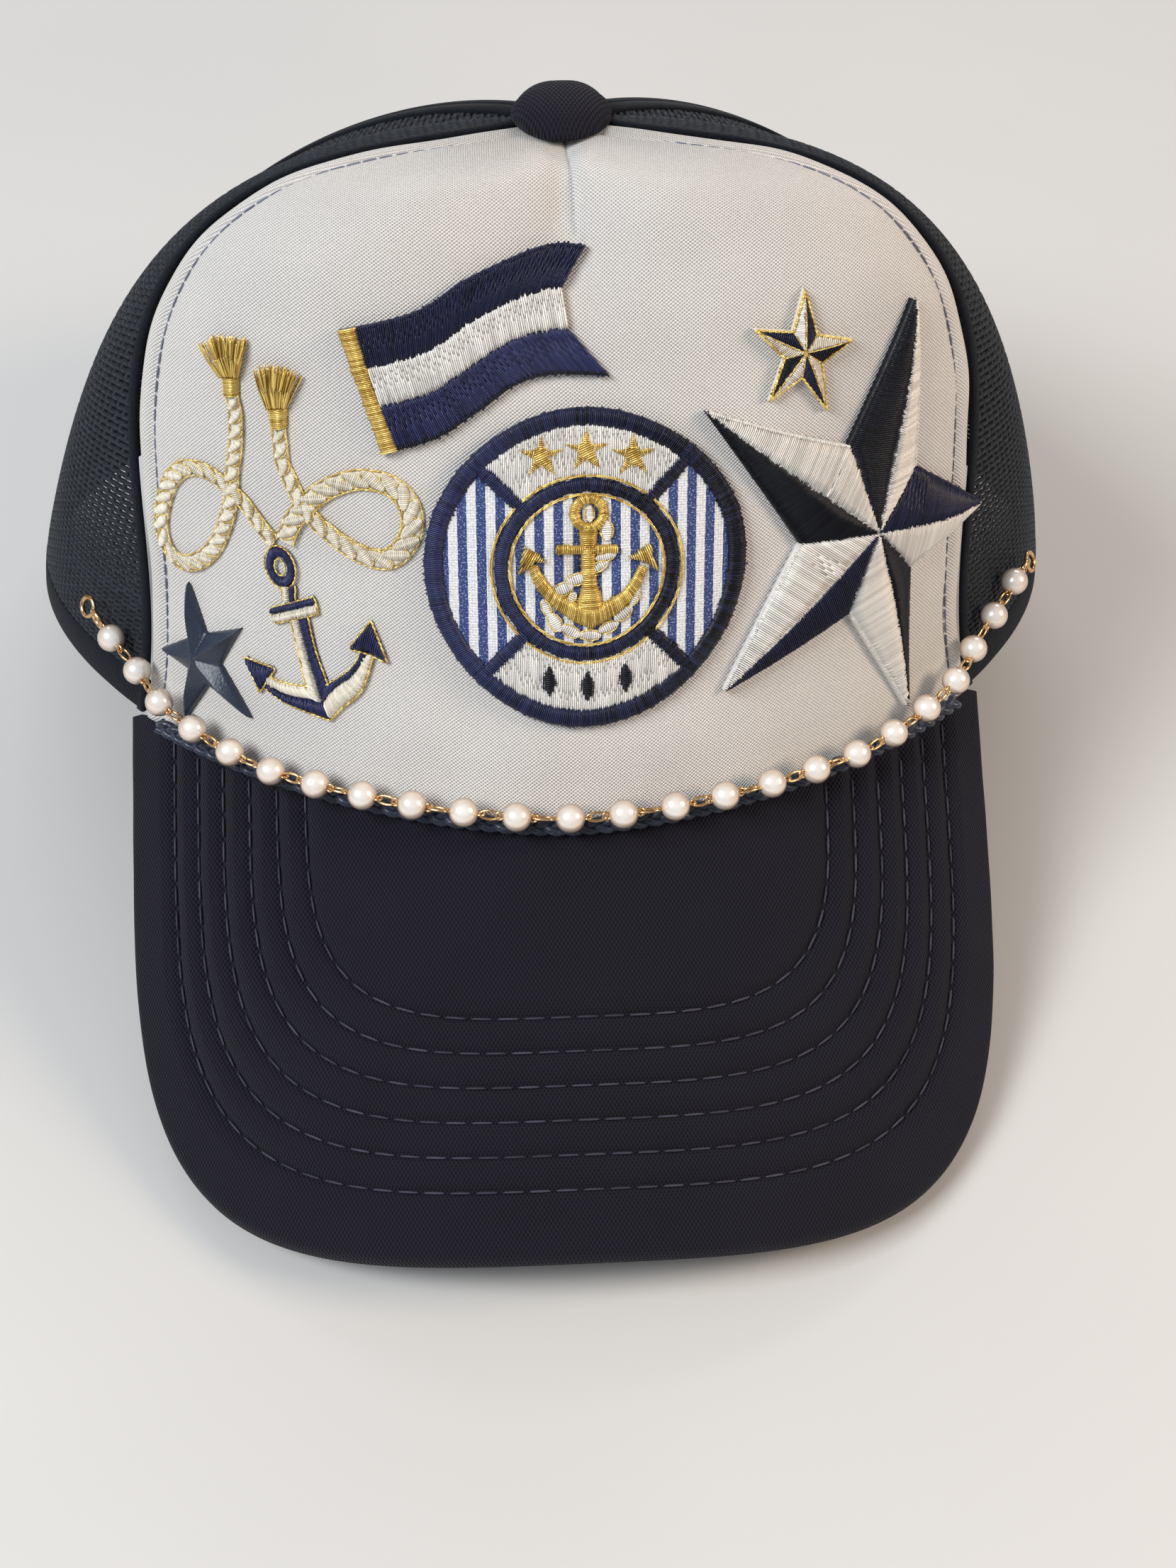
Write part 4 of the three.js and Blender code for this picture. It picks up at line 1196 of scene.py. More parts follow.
# %% Button
def button_grid(columns):
    """The cover's upper skin and its underside, as rings from the middle out."""
    reach = np.concatenate([[0.02], np.linspace(0.12, 0.9, 12), [0.95, 0.98, 1.0]])
    around = np.linspace(-math.pi, math.pi, columns, endpoint=False)
    radius = np.maximum(reach * BUTTON["radius"], 0.2)
    angle = np.broadcast_to(around[None, :], (len(reach), columns))
    rise = rise_at_radius(angle, np.broadcast_to(radius[:, None], angle.shape))
    base = crown_point(angle, rise)
    base[..., 2] = CROWN["top"] + (base[..., 2] - CROWN["top"]) * reach[:, None] + GAP
    dome = base.copy()
    dome[..., 2] += BUTTON["height"] * np.sqrt(1.02 - reach[:, None] ** 2)
    return dome, base


# shell() also walls the hole in the middle. Two small faces close it better than that wall.
COLUMNS = 64
cover = Piece("covered_button")
dome, base = button_grid(COLUMNS)
points, (upper, lower, _, rim) = shell(dome, base, wrap=True)
middles = [np.arange(COLUMNS)[None, ::-1], np.arange(COLUMNS)[None, :] + len(dome) * COLUMNS]
flat = points[:, :2] - [CROWN["top_x"], CROWN["top_y"]]
cover.add(points, [upper, lower, rim] + middles, NAVY_KNIT, flat=flat)
cover.done("button")

# %% Snap strap
SNAP = {"half_angle": 36.0, "width": 14.0, "thickness": 1.8, "columns": 90, "sides": 28, "lean_rise": 0.3}


def strap_line(level, out):
    """A line along the strap at a height, out from the inside of the netting."""
    theta = np.radians(np.linspace(180 - SNAP["half_angle"], 180 + SNAP["half_angle"], SNAP["columns"]))
    theta = np.where(theta > math.pi, theta - TURN, theta)
    foot, back = rim_point(theta), crown_point(theta, SNAP["lean_rise"])
    lean = np.clip(level / np.maximum(back[:, 2] - foot[:, 2], 1), 0, 1)
    n = crown_normal(theta, np.full(theta.shape, 0.02))
    n[:, 2] = 0
    n = unit(n)
    line = foot + (back - foot) * lean[:, None]
    line[:, 2] = level
    return line - n * out


half = SNAP["thickness"] / 2
middle_out = CROWN["net"] + 2 * GAP + half
section = []
for angle in np.linspace(0, TURN, SNAP["sides"], endpoint=False):
    level = SNAP["width"] / 2 + (SNAP["width"] / 2 - half) * np.sign(np.sin(angle)) + half * np.sin(angle)
    section.append((level, middle_out + half * np.cos(angle)))
rings = np.stack([strap_line(level, out) for level, out in section], 1)
rows, sides = rings.shape[:2]
ends = [np.arange(sides)[None, ::-1], np.arange(sides)[None, :] + (rows - 1) * sides]
strap_flat = np.tile(np.linspace(0, 2 * SNAP["width"], sides), rows)[:, None].repeat(2, 1)
strap = Piece("snap_strip")
strap.add(rings.reshape(-1, 3), [grid_faces(rows, sides, wrap=True)] + ends, STRAP, flat=strap_flat)
strap.done("snap_strap")

# %% [markdown]
# ## The braid and the pearls
#
# A three-strand plait has a simple formula: every strand swings from side to side, and goes up and
# down twice as often, each a third of a turn behind the next. The pearls hang in front of
# the plait on wire, each between two small loops, and the chain climbs the sides of the hat to a
# pair of gold rings.

# %% Braid
BRAID = {"reach": 46.0, "out": 1.9, "up": 0.7, "drift": 0.3, "pitch": 8.4, "strand": 0.68, "swing": 0.85,
         "depth": 0.42, "step": 0.3, "sides": 10}


def seam_path(theta, out, up):
    """A place over the brim seam, a straight distance up from the rim."""
    theta = np.asarray(theta, float)
    foot = crown_point(theta, 0.0)

    def is_short(rise):
        return np.linalg.norm(crown_point(theta, rise) - foot, axis=-1) < up

    rise = largest(np.zeros(theta.shape), np.full(theta.shape, 0.6), is_short, rounds=30)
    return crown_out(theta, rise, np.broadcast_to(out, theta.shape))


degrees = np.linspace(-BRAID["reach"], BRAID["reach"], 700)
far = (np.abs(degrees) / BRAID["reach"]) ** 2
out, up = BRAID["out"] + BRAID["drift"] * far, BRAID["up"] + 2 * BRAID["drift"] * far
core = seam_path(np.radians(degrees), out, up)
run = running_length(core)
even = np.linspace(0, run[-1], int(run[-1] / BRAID["step"]))
core = at_lengths(core, run, even)
theta = np.radians(np.interp(even, run, degrees))
out = unit(crown_normal(theta, np.full(theta.shape, 0.05)) + [0, 0, 0.35])
ahead = unit(np.gradient(core, axis=0))
upward = np.cross(out, ahead)
print("braid:", round(float(run[-1]), 1), "mm")

# %% Plait three strands
plait = Piece("satin_plait")
for strand in range(3):
    phase = even / BRAID["pitch"] * TURN + strand * TURN / 3
    path = core + upward * (BRAID["swing"] * np.sin(phase))[:, None]
    path = path + out * (BRAID["depth"] * np.sin(2 * phase))[:, None]
    points, faces = tube(path, out, BRAID["strand"], BRAID["sides"])
    shade = np.tile(0.5 + 0.35 * np.sin(np.arange(BRAID["sides"]) * 2.4), len(path))
    shade = shade + 0.12 * chance.standard_normal(len(shade))
    plait.add(points, faces, THREAD["satin"], np.clip(shade, 0, 1))
plait.done("rope_braid")

# %% Path of the chain
PEARLS = {"count": 24, "diameter": 5.0, "pitch": 8.88, "first": -54.8, "front_out": 5.2, "side_out": 2.9,
          "side_from": 44, "side_over": 8, "front_up": 3.3, "side_up": 14.5, "rise_from": 30.0,
          "rise_over": 30.0, "rise_power": 1.6, "reach": 66}


def chain_point(degrees):
    """A place on the chain: close to the seam in front, and climbing the netting at the sides."""
    far = np.clip((np.abs(degrees) - PEARLS["rise_from"]) / PEARLS["rise_over"], 0, 1)
    to_side = soft_step((np.abs(degrees) - PEARLS["side_from"]) / PEARLS["side_over"])
    out = PEARLS["front_out"] + (PEARLS["side_out"] - PEARLS["front_out"]) * to_side
    up = PEARLS["front_up"] + PEARLS["side_up"] * far ** PEARLS["rise_power"]
    return seam_path(np.radians(degrees), out, up)


chain_angles = np.linspace(-PEARLS["reach"], PEARLS["reach"], 1200)
chain_run = running_length(chain_point(chain_angles))
first_pearl = np.interp(PEARLS["first"], chain_angles, chain_run)


def along_chain(length):
    """A place on the chain by length, with the directions ahead and out from the hat."""
    angle = np.interp(length, chain_run, chain_angles)
    at, a, b = (chain_point(np.array([angle + step]))[0] for step in (0, -0.5, 0.5))
    ahead = unit(b - a)
    out = crown_normal(np.radians([angle]), np.array([0.1]))[0]
    out = unit(out - ahead * np.dot(out, ahead))
    return at, ahead, out


print("the pearls span", round((PEARLS["count"] - 1) * PEARLS["pitch"], 1), "mm")

# %% Pearl chain
WIRES = {"radius": 0.24, "eye": 0.62, "eye_seat": 0.55, "half_link": 1.7, "link_wide": 0.76}


def ball(middle, radius, ahead, out, rows=14, cols=28):
    polar = np.linspace(0.05, math.pi - 0.05, rows)
    a = np.arange(cols) / cols * TURN
    side = np.cross(ahead, out)
    around = side[None, :] * np.cos(a)[:, None] + out[None, :] * np.sin(a)[:, None]
    spokes = ahead * np.cos(polar)[:, None, None] + around[None] * np.sin(polar)[:, None, None]
    points = spokes * radius + middle
    faces = [grid_faces(rows, cols, wrap=True)[:, ::-1], np.arange(cols)[None, :],
             np.arange(cols)[None, ::-1] + (rows - 1) * cols]
    return points.reshape(-1, 3), faces


def wire_loop(middle, along, across, half_long, half_wide, wire, count=28):
    a = np.arange(count) / count * TURN
    path = middle + along * (half_long * np.cos(a))[:, None] + across * (half_wide * np.sin(a))[:, None]
    return tube(path, np.cross(along, across), wire, closed=True)


chain = Piece("pearl_string")
for i in range(PEARLS["count"]):
    at, ahead, out = along_chain(first_pearl + i * PEARLS["pitch"])
    chain.add(*ball(at, PEARLS["diameter"] / 2, ahead, out), PEARL)
    turned = np.cross(ahead, out) if i % 2 == 0 else out
    for sign in (-1, 1):
        eye = at + ahead * sign * (PEARLS["diameter"] / 2 + WIRES["eye"] * WIRES["eye_seat"])
        chain.add(*wire_loop(eye, ahead, turned, WIRES["eye"], WIRES["eye"], WIRES["radius"]), WIRE)
    if i < PEARLS["count"] - 1:
        at, ahead, out = along_chain(first_pearl + (i + 0.5) * PEARLS["pitch"])
        turned = out if i % 2 == 0 else np.cross(ahead, out)
        link = wire_loop(at, ahead, turned, WIRES["half_link"], WIRES["link_wide"], WIRES["radius"])
        chain.add(*link, WIRE)
chain.done("pearl_chain")

# %% Clasps
CLASP = {"radius": 1.7, "wire": 0.42, "lean": 0.35}
for sign, word in ((-1, "left"), (1, "right")):
    end = first_pearl + (0 if sign < 0 else PEARLS["count"] - 1) * PEARLS["pitch"]
    start = end + sign * (PEARLS["diameter"] / 2 + GAP)
    reach = CLASP["radius"] + CLASP["wire"]
    pair = Piece(f"gold_rings_{word}")
    for offset, lean in ((reach, -CLASP["lean"]), (3 * reach - 2 * CLASP["wire"], CLASP["lean"])):
        at, ahead, out = along_chain(start + sign * offset)
        tilt = unit(np.cross(ahead, out) + out * lean)
        pair.add(*wire_loop(at, ahead, tilt, CLASP["radius"], CLASP["radius"], CLASP["wire"], 36), WIRE)
    pair.done(f"clasp_{word}")

# %% [markdown]
# ## How the patches are sewn
#
# An embroidery machine covers a shape with satin stitches: threads laid side by side from edge to
# edge, over a little padding, so that the middle stands up and the light runs along the threads. A
# stitch longer than a few millimetres would snag, so a wide shape is filled with shorter ones, end
# to end. We sew in the same way. Every stitch is a small closed bar that dives into the cloth at
# both ends, and every patch is laid by tape measure on the front panel.

# %% Single stitches
STITCH = {"width": 0.40, "thick": 0.32, "pitch": 0.34, "split": 4.6, "rag": 0.13, "sink": 0.16}
RESTS_AT = 0.15


def level_at(height):
    """A level ground to sew on, in millimetres above the panel's skin."""
    return lambda spots: np.full(spots.shape[:-1], height)


def rounded(share):
    """The height of satin from one end (0) to the other (1), as a share of its middle."""
    return np.sin(np.pi * share) ** 0.6


def threads(piece, starts, ends, level, lift, finish, rag, shade, sunk):
    """Satin stitches between pairs of places. lift is how far each middle stands above the level,
    rag how uneven the ends are, and sunk what share of a full dive each end makes."""
    count = len(starts)
    along = unit(ends - starts)
    starts = starts - along * chance.normal(0, rag, (count, 1))
    ends = ends + along * chance.normal(0, rag, (count, 1))
    share = np.array([0.0, 0.25, 0.75, 1.0])
    spots = starts[:, None] + (ends - starts)[:, None] * share[None, :, None]
    height = level(spots) + RESTS_AT
    height = height + lift * rounded(share)
    height[:, 0] -= STITCH["sink"] * sunk[0]
    height[:, -1] -= STITCH["sink"] * sunk[1]
    theta, rise = front_tape.angles(spots)
    out = crown_normal(theta, rise)
    spine = crown_point(theta, rise) + out * height[..., None]
    ahead = unit(np.gradient(spine, axis=1))
    side = np.cross(ahead, out) * STITCH["width"] / 2
    points = np.stack([spine - side, spine + out * STITCH["thick"], spine + side], 2)
    rings, sides = points.shape[1:3]
    per = rings * sides
    base = np.arange(count)[:, None] * per
    quads = (grid_faces(rings, sides, wrap=True)[None] + base[:, None]).reshape(-1, 4)
    first = np.arange(sides)[None] + base
    last = np.arange(sides)[None, ::-1] + (rings - 1) * sides + base
    shade = chance.uniform(0.1, 0.9, count) if shade is None else shade
    piece.add(points, [quads[:, ::-1], first, last], finish, np.repeat(shade, per))


print("threads lie", STITCH["pitch"], "mm apart and are", STITCH["width"], "mm wide, so they overlap")

# %% Cuts in long stitches
CUT = {"from": 0.4, "spread": 0.45, "row_step": 0.382, "clear_of_ends": 0.1, "dive": 0.3}


def split_threads(starts, ends, longest):
    """Cuts long stitches into shorter ones, at places that differ from row to row.
    Also tells how deep each end dives: fully at the outline, hardly at a cut."""
    begin, finish, dives = [], [], []
    for i, (a, b) in enumerate(zip(starts, ends)):
        cuts = int(np.linalg.norm(b - a) / longest)
        marks = (np.arange(cuts) + CUT["from"] + CUT["spread"] * ((i * CUT["row_step"]) % 1)) / max(cuts, 1)
        marks = marks[(marks > CUT["clear_of_ends"]) & (marks < 1 - CUT["clear_of_ends"])]
        marks = np.concatenate([[0], marks, [1]])
        begin += [a + (b - a) * m for m in marks[:-1]]
        finish += [a + (b - a) * m for m in marks[1:]]
        dives += [(float(k == 0), float(k == len(marks) - 2)) for k in range(len(marks) - 1)]
    dives = np.maximum(np.array(dives), CUT["dive"])
    return np.array(begin), np.array(finish), dives.T


example = split_threads(np.array([(0.0, 0.0)]), np.array([(10.0, 0.0)]), STITCH["split"])
print("a stitch of 10 mm is cut into", len(example[0]))

# %% Satin strips
SEAT = 0.02
NEVER_SPLIT = 99.0
FLAT_CLOTH = level_at(0.0)


def along_line(line, count):
    """Places in the middle of equal parts of a line."""
    run = running_length(line)
    return at_lengths(line, run, (np.arange(count) + 0.5) / count * run[-1])


def strip_padding(piece, line_a, line_b, level, lift, finish):
    """The padding under a satin strip, as a closed solid with a rounded top."""
    share = np.array([0.04, 0.2, 0.5, 0.8, 0.96])
    cells = line_a[:, None] + (line_b - line_a)[:, None] * share[None, :, None]
    raised = RESTS_AT - SEAT + np.maximum(lift * rounded(share), 2 * SEAT)[None, :]
    points, faces = shell(front_tape.place(cells, level(cells) + raised), front_tape.place(cells, SEAT))
    piece.add(points, [f[:, ::-1] for f in faces], finish, 0.3)


def satin_strip(piece, line_a, line_b, finish, lift=0.5, level=FLAT_CLOTH, longest=NEVER_SPLIT,
                rag=STITCH["rag"], shade=None):
    """Stitches from one line to the other, over padding. shade gives each its shade by its place."""
    length = max(running_length(line_a)[-1], running_length(line_b)[-1])
    count = max(int(length / STITCH["pitch"]), 2)
    starts, ends = along_line(line_a, count), along_line(line_b, count)
    cells = max(min(count, 160), 3)
    strip_padding(piece, along_line(line_a, cells), along_line(line_b, cells), level, lift, finish)
    starts, ends, sunk = split_threads(starts, ends, longest)
    shade = None if shade is None else shade(starts)
    threads(piece, starts, ends, level, lift, finish, rag, shade, sunk)


print("a strip 10 mm long takes", int(10 / STITCH["pitch"]), "threads")

# %% Satin areas
LEAST_STITCH = 0.3


def satin_area(piece, outline, degrees, finish, lift=0.12, level=FLAT_CLOTH, longest=STITCH["split"],
               rag=STITCH["rag"]):
    """Fills an outline with stitches that run at an angle, counted from across towards up."""
    outline = np.asarray(outline, float)
    turn = math.radians(degrees)
    along, over = np.array([math.cos(turn), math.sin(turn)]), np.array([-math.sin(turn), math.cos(turn)])
    a, b = outline @ along, outline @ over
    a_next, b_next = np.roll(a, -1), np.roll(b, -1)
    starts, ends = [], []
    for row in np.arange(b.min() + STITCH["pitch"] / 2, b.max(), STITCH["pitch"]):
        crossed = (b > row) != (b_next > row)
        where = a[crossed] + (row - b[crossed]) / (b_next - b)[crossed] * (a_next - a)[crossed]
        where = np.sort(where)
        for low, high in zip(where[::2], where[1::2]):
            if high - low > LEAST_STITCH:
                starts.append(along * low + over * row)
                ends.append(along * high + over * row)
    starts, ends, sunk = split_threads(starts, ends, longest)
    threads(piece, starts, ends, level, lift, finish, rag, None, sunk)


print("satin longer than", STITCH["split"], "mm is cut")

# %% Gold lines and patch bodies
TWIST = {"cover": 1.12, "slant": 0.45}
PATCH_SHADE = 0.35


def gold_line(piece, line, lift=0.25, level=FLAT_CLOTH, radius=0.17, pitch=0.95, closed=False):
    """A line of twisted gold thread, as short slanting stitches end to end."""
    line = np.asarray(line, float)
    if closed:
        line = np.concatenate([line, line[:1]])
    run = running_length(line)
    count = max(int(run[-1] / pitch), 1)
    begin = at_lengths(line, run, np.arange(count) * run[-1] / count)
    end = at_lengths(line, run, (np.arange(count) + TWIST["cover"]) * run[-1] / count)
    ahead = unit(end - begin)
    side = np.stack([-ahead[:, 1], ahead[:, 0]], -1) * radius * TWIST["slant"]
    up = crown_normal(*front_tape.angles(begin))
    begin, end = begin - side, end + side
    starts = front_tape.place(begin, level(begin) + RESTS_AT + lift)
    ends = front_tape.place(end, level(end) + RESTS_AT + lift)
    points, faces, per = capsules(starts, ends, radius, up, sides=5)
    piece.add(points, faces, THREAD["gold"], np.repeat(chance.uniform(0.15, 1.0, count), per))


def patch_body(piece, cells, finish, wrap=False):
    """A solid between the panel and a top given as cells of across, up and height."""
    cells = np.asarray(cells, float)
    top = front_tape.place(cells, RESTS_AT - 0.05 + cells[..., 2])
    points, faces = shell(top, front_tape.place(cells, SEAT), wrap)
    flat = cells[..., :2].reshape(-1, 2)
    piece.add(points, faces, finish, PATCH_SHADE, np.concatenate([flat, flat]))


print("sewing tools ready")

# %% [markdown]
# ## The flag
#
# The flag waves between two curved edges and ends in a swallow tail. Its three stripes are filled
# with upright stitches, and where two stripes meet, the stitches' ends mesh like teeth. A gold
# band of short level stitches binds the hoist.

# %% Flag
FLAG = {
    "upper": [(-36, 86.4), (-23.8, 89), (-16.2, 93.3), (-5.6, 95.7), (3.3, 95.6)],
    "lower": [(-29.6, 63.6), (-20.7, 66.3), (-14.1, 70.5), (-5.9, 75.2), (6.7, 75.5)],
    "stripes": ((0.0, 0.345, "indigo"), (0.345, 0.66, "white"), (0.66, 1.0, "navy")),
    "edges": ((0.0, 0.03, "black"), (1.0, 0.97, "navy")),
    "notch": 0.19, "hoist": 0.07, "thickness": 0.9,
}
EVEN = np.linspace(0, 1, 101)
flag_upper = smooth_line(FLAG["upper"], len(EVEN))
flag_lower = smooth_line(FLAG["lower"], len(EVEN))
flag_level = level_at(FLAG["thickness"])


def flag_place(u, v):
    """A place on the flag: u from hoist to fly, v from the lower to the upper edge."""
    u, v = np.broadcast_arrays(np.asarray(u, float), np.asarray(v, float))
    end = u * (1 - FLAG["notch"] * (1 - np.abs(2 * v - 1)))
    low = at_lengths(flag_lower, EVEN, end)
    high = at_lengths(flag_upper, EVEN, end)
    return low + (high - low) * v[..., None]


flag = Piece("waving_flag")
u, v = np.meshgrid(np.linspace(0, 1, 60), np.linspace(0, 1, 25))
cells = np.concatenate([flag_place(u, v), np.full(u.shape + (1,), FLAG["thickness"])], -1)
patch_body(flag, cells, THREAD["navy"])
across_flag = np.linspace(FLAG["hoist"], 1, 90)
for low, high, name in FLAG["stripes"]:
    satin_strip(flag, flag_place(across_flag, low), flag_place(across_flag, high), THREAD[name], lift=0.14,
                level=flag_level, longest=5.5, rag=0.2)
up_hoist = np.linspace(-0.005, 1.005, 40)
satin_strip(flag, flag_place(-0.004, up_hoist), flag_place(FLAG["hoist"] + 0.004, up_hoist), THREAD["gold"],
            lift=0.4, level=flag_level)
for edge, inward, name in FLAG["edges"]:
    satin_strip(flag, flag_place(across_flag, edge), flag_place(across_flag, inward), THREAD[name], lift=0.1,
                level=flag_level)
flag.done("flag_patch")

# %% [markdown]
# ## The stars
#
# A nautical star is ten facets, light and dark in turn, folded up along each arm's ridge. The
# height of any place on it follows from its facet: we find the facet's three corners, how near the
# place is to each, and let the height fall from the ridge to the edge and to the fold between arms.

# %% Star outlines and facets
STARS = {
    "large": {"middle": (53.4, 43.5), "waist": 0.24, "edge": 1.2, "ridge": 1.9, "fold": 0.45,
              "tips": [(58.6, 88.5), (81.4, 39.1), (66.1, 5.6), (26.1, 20.4), (22, 69.9)]},
    "gold": {"middle": (37.9, 80.2), "waist": 0.24, "edge": 0.8, "ridge": 0.7, "fold": 0.6,
             "tips": [(37.8, 92.5), (46.2, 81.7), (42.3, 68.5), (32.4, 71.4), (29.7, 84.7)]},
    "navy": {"middle": (-68.4, 18.2), "waist": 0.23, "edge": 0.7, "ridge": 2.0, "fold": 0.35,
             "tips": [(-69.3, 32.0), (-58.1, 26.6), (-57.8, 9.7), (-73.7, 4.6), (-78.3, 16.4)]},
}
FACETS = 10


def star_corners(star):
    """Tips and waists in turn, clockwise from the top arm."""
    middle = np.array(star["middle"])
    tips = np.array(star["tips"]) - middle
    waists = star["waist"] * (tips + np.roll(tips, -1, 0))
    return middle + np.stack([tips, waists], 1).reshape(-1, 2)


def facets(star):
    """The ten facets as corner triples, clockwise from the right side of the top arm."""
    middle, corners = np.array(star["middle"]), star_corners(star)
    return [(middle, corners[i], corners[(i + 1) % FACETS]) for i in range(FACETS)]


print("stars:", ", ".join(STARS))

# %% Star heights
TAPER = 0.45


def star_level(star):
    """The height of a star over any place, from the facet that the place lies in."""
    def level(spots):
        best = np.full(spots.shape[:-1], -1e9)
        height = np.full(spots.shape[:-1], float(star["edge"]))
        for i, (middle, a, b) in enumerate(facets(star)):
            tip, waist = (a, b) if i % 2 == 0 else (b, a)
            shares = (spots - middle) @ np.linalg.inv(np.stack([tip - middle, waist - middle]))
            t, w = shares[..., 0], shares[..., 1]
            inside = np.minimum(t, w)
            on_ridge = np.clip(t, 0, None) / np.maximum(np.clip(t, 0, None) + np.clip(w, 0, None), 1e-6)
            near_middle = np.clip(1 - t - w, 0, 1)
            fold = star["fold"] + (1 - star["fold"]) * near_middle ** 2
            share = fold + (1 - fold) * on_ridge
            here = star["edge"] + star["ridge"] * share * np.minimum(1, near_middle / TAPER) ** 0.7
            height = np.where(inside > best, here, height)
            best = np.maximum(best, inside)
        return height

    return level


def facet_angle(middle, a, b, is_right):
    """Stitches run from the ridge to the edge, square to the line halfway between them."""
    tip, waist = (a, b) if is_right else (b, a)
    ridge, edge = unit(tip - middle), unit(tip - waist)
    along = unit(ridge + edge)
    return math.degrees(math.atan2(along[0], -along[1]))


for name, star in STARS.items():
    print(name, "star, height of its middle:", star_level(star)(np.array([star["middle"]])).round(2), "mm")

# %% Star bodies
STAR_RINGS = {0.02: 0, 0.15: 0, 0.3: 0, 0.45: 0, 0.6: 0, 0.75: 0, 0.88: 0, 0.96: 0.08, 1.0: 0.45}


def star_body(piece, star, finish, spread=1.0):
    """The star as one solid. Each ring has a share of the way out and a drop that rounds the edge."""
    middle, corners = np.array(star["middle"]), star_corners(star)
    line = np.concatenate([corners, corners[:1]])
    mark = np.linspace(0, FACETS, 160, endpoint=False)
    outline = at_lengths(line, np.arange(FACETS + 1), mark)
    level = star_level(star)
    rings = []
    for share, drop in STAR_RINGS.items():
        ring = middle + (outline - middle) * share * spread
        rings.append(np.column_stack([ring, level(ring) - drop]))
    patch_body(piece, rings, finish, wrap=True)


print("rings of a star's body:", len(STAR_RINGS))

# %% Large star
LARGE_COLOURS = ["white", "navy", "white", "black", "white", "navy", "white", "black", "white", "black"]
LARGE_EDGE = {"inward": 0.35, "outward": 0.25, "drop": 0.1}
large = Piece("large_star")
star_body(large, STARS["large"], THREAD["white"])
level = star_level(STARS["large"])
for i, (middle, a, b) in enumerate(facets(STARS["large"])):
    tilt = facet_angle(middle, a, b, i % 2 == 0)
    satin_area(large, [middle, a, b], tilt, THREAD[LARGE_COLOURS[i]], level=level, longest=9, rag=0.15)
edge_level = level_at(STARS["large"]["edge"] - LARGE_EDGE["drop"])
for i, (middle, a, b) in enumerate(facets(STARS["large"])):
    out = unit(np.array([a[1] - b[1], b[0] - a[0]]))
    out = out * (1 if np.dot(out, (a + b) / 2 - middle) > 0 else -1)
    edge = np.linspace(a, b, 60)
    satin_strip(large, edge - out * LARGE_EDGE["inward"], edge + out * LARGE_EDGE["outward"],
                THREAD[LARGE_COLOURS[i]], lift=0.12, rag=0.05, level=edge_level)
large.done("large_star_patch")

# %% Small star with gold outlines
SMALL_COLOURS = ["navy", "cream", "black", "cream", "navy", "white", "black", "cream", "navy", "white"]
small = Piece("small_star")
star_body(small, STARS["gold"], THREAD["cream"], spread=1.05)
level = star_level(STARS["gold"])
for i, (middle, a, b) in enumerate(facets(STARS["gold"])):
    tilt = facet_angle(middle, a, b, i % 2 == 0)
    satin_area(small, [middle, a, b], tilt, THREAD[SMALL_COLOURS[i]], level=level)
for middle, a, b in facets(STARS["gold"]):
    gold_line(small, np.linspace(a, b, 12), lift=0.25, level=level, radius=0.24)
    gold_line(small, np.linspace(middle, a, 12), lift=0.2, level=level, radius=0.14)
small.done("gold_star_patch")

# %% [markdown]
# The navy star is not embroidered: it is padded cloth, pressed into five ridges. One smooth
# surface with a soft grain is enough.

# %% Padded star
padded = Piece("padded_star")
star_body(padded, STARS["navy"], SLATE_CLOTH)
padded_made = padded.done("navy_star_patch")

# %% [markdown]
# ## The round badge
#
# The ground of the badge is striped cotton. A thick satin ring binds its edge, a second ring frames
# the disc in the middle, and four bars join the rings. The fields above and below are filled with
# white, one with three gold stars and one with three small lozenges. In the disc a gold anchor
# stands with a white rope round it, each turn of rope an oval outlined in gold.

# %% Badge ground
BADGE = {"middle": (3.0, 44.1), "radius": 26.4, "border": 3.1, "disc": 15.0, "ring": 2.2, "cloth": 1.05}
BADGE_RINGS = {0.02: 1.0, 0.3: 1.0, 0.6: 1.0, 0.95: 1.0, 0.985: 0.8}
badge_middle = np.array(BADGE["middle"])
badge_level = level_at(BADGE["cloth"])


def arc(radius, start, end, count=120, middle=badge_middle):
    """Places on a circle. Angles are clock degrees: 0 is up and 90 is towards +X."""
    a = np.radians(np.linspace(start, end, count))
    return np.array(middle) + np.stack([np.sin(a), np.cos(a)], -1) * radius


badge = Piece("sewn_badge")
rings = []
for out_share, height_share in BADGE_RINGS.items():
    circle = arc(BADGE["radius"] * out_share, 0, 357)
    rings.append(np.column_stack([circle, np.full(len(circle), BADGE["cloth"] * height_share)]))
patch_body(badge, rings, STRIPES, wrap=True)
print("badge:", 2 * BADGE["radius"], "mm across")

# %% Fields, bars and rings of the badge
WHITE_FIELDS = ((-44, 41), (139, 222))
BARS = {"clocks": (-45, 41.5, 137.5, 223), "half_width": 1.25}
inside_border = BADGE["radius"] - BADGE["border"]
inside_ring = BADGE["disc"] - BADGE["ring"]


def ring_painted_light(places):
    """Painted light: the threads of the rings are painted lighter towards the left, where they turn to the
    window, and darker to the right, with a little random tone on top.
    """
    from_middle = places - badge_middle
    return np.clip(0.45 - 0.4 * unit(from_middle)[:, 0] + chance.normal(0, 0.2, len(places)), 0, 1)


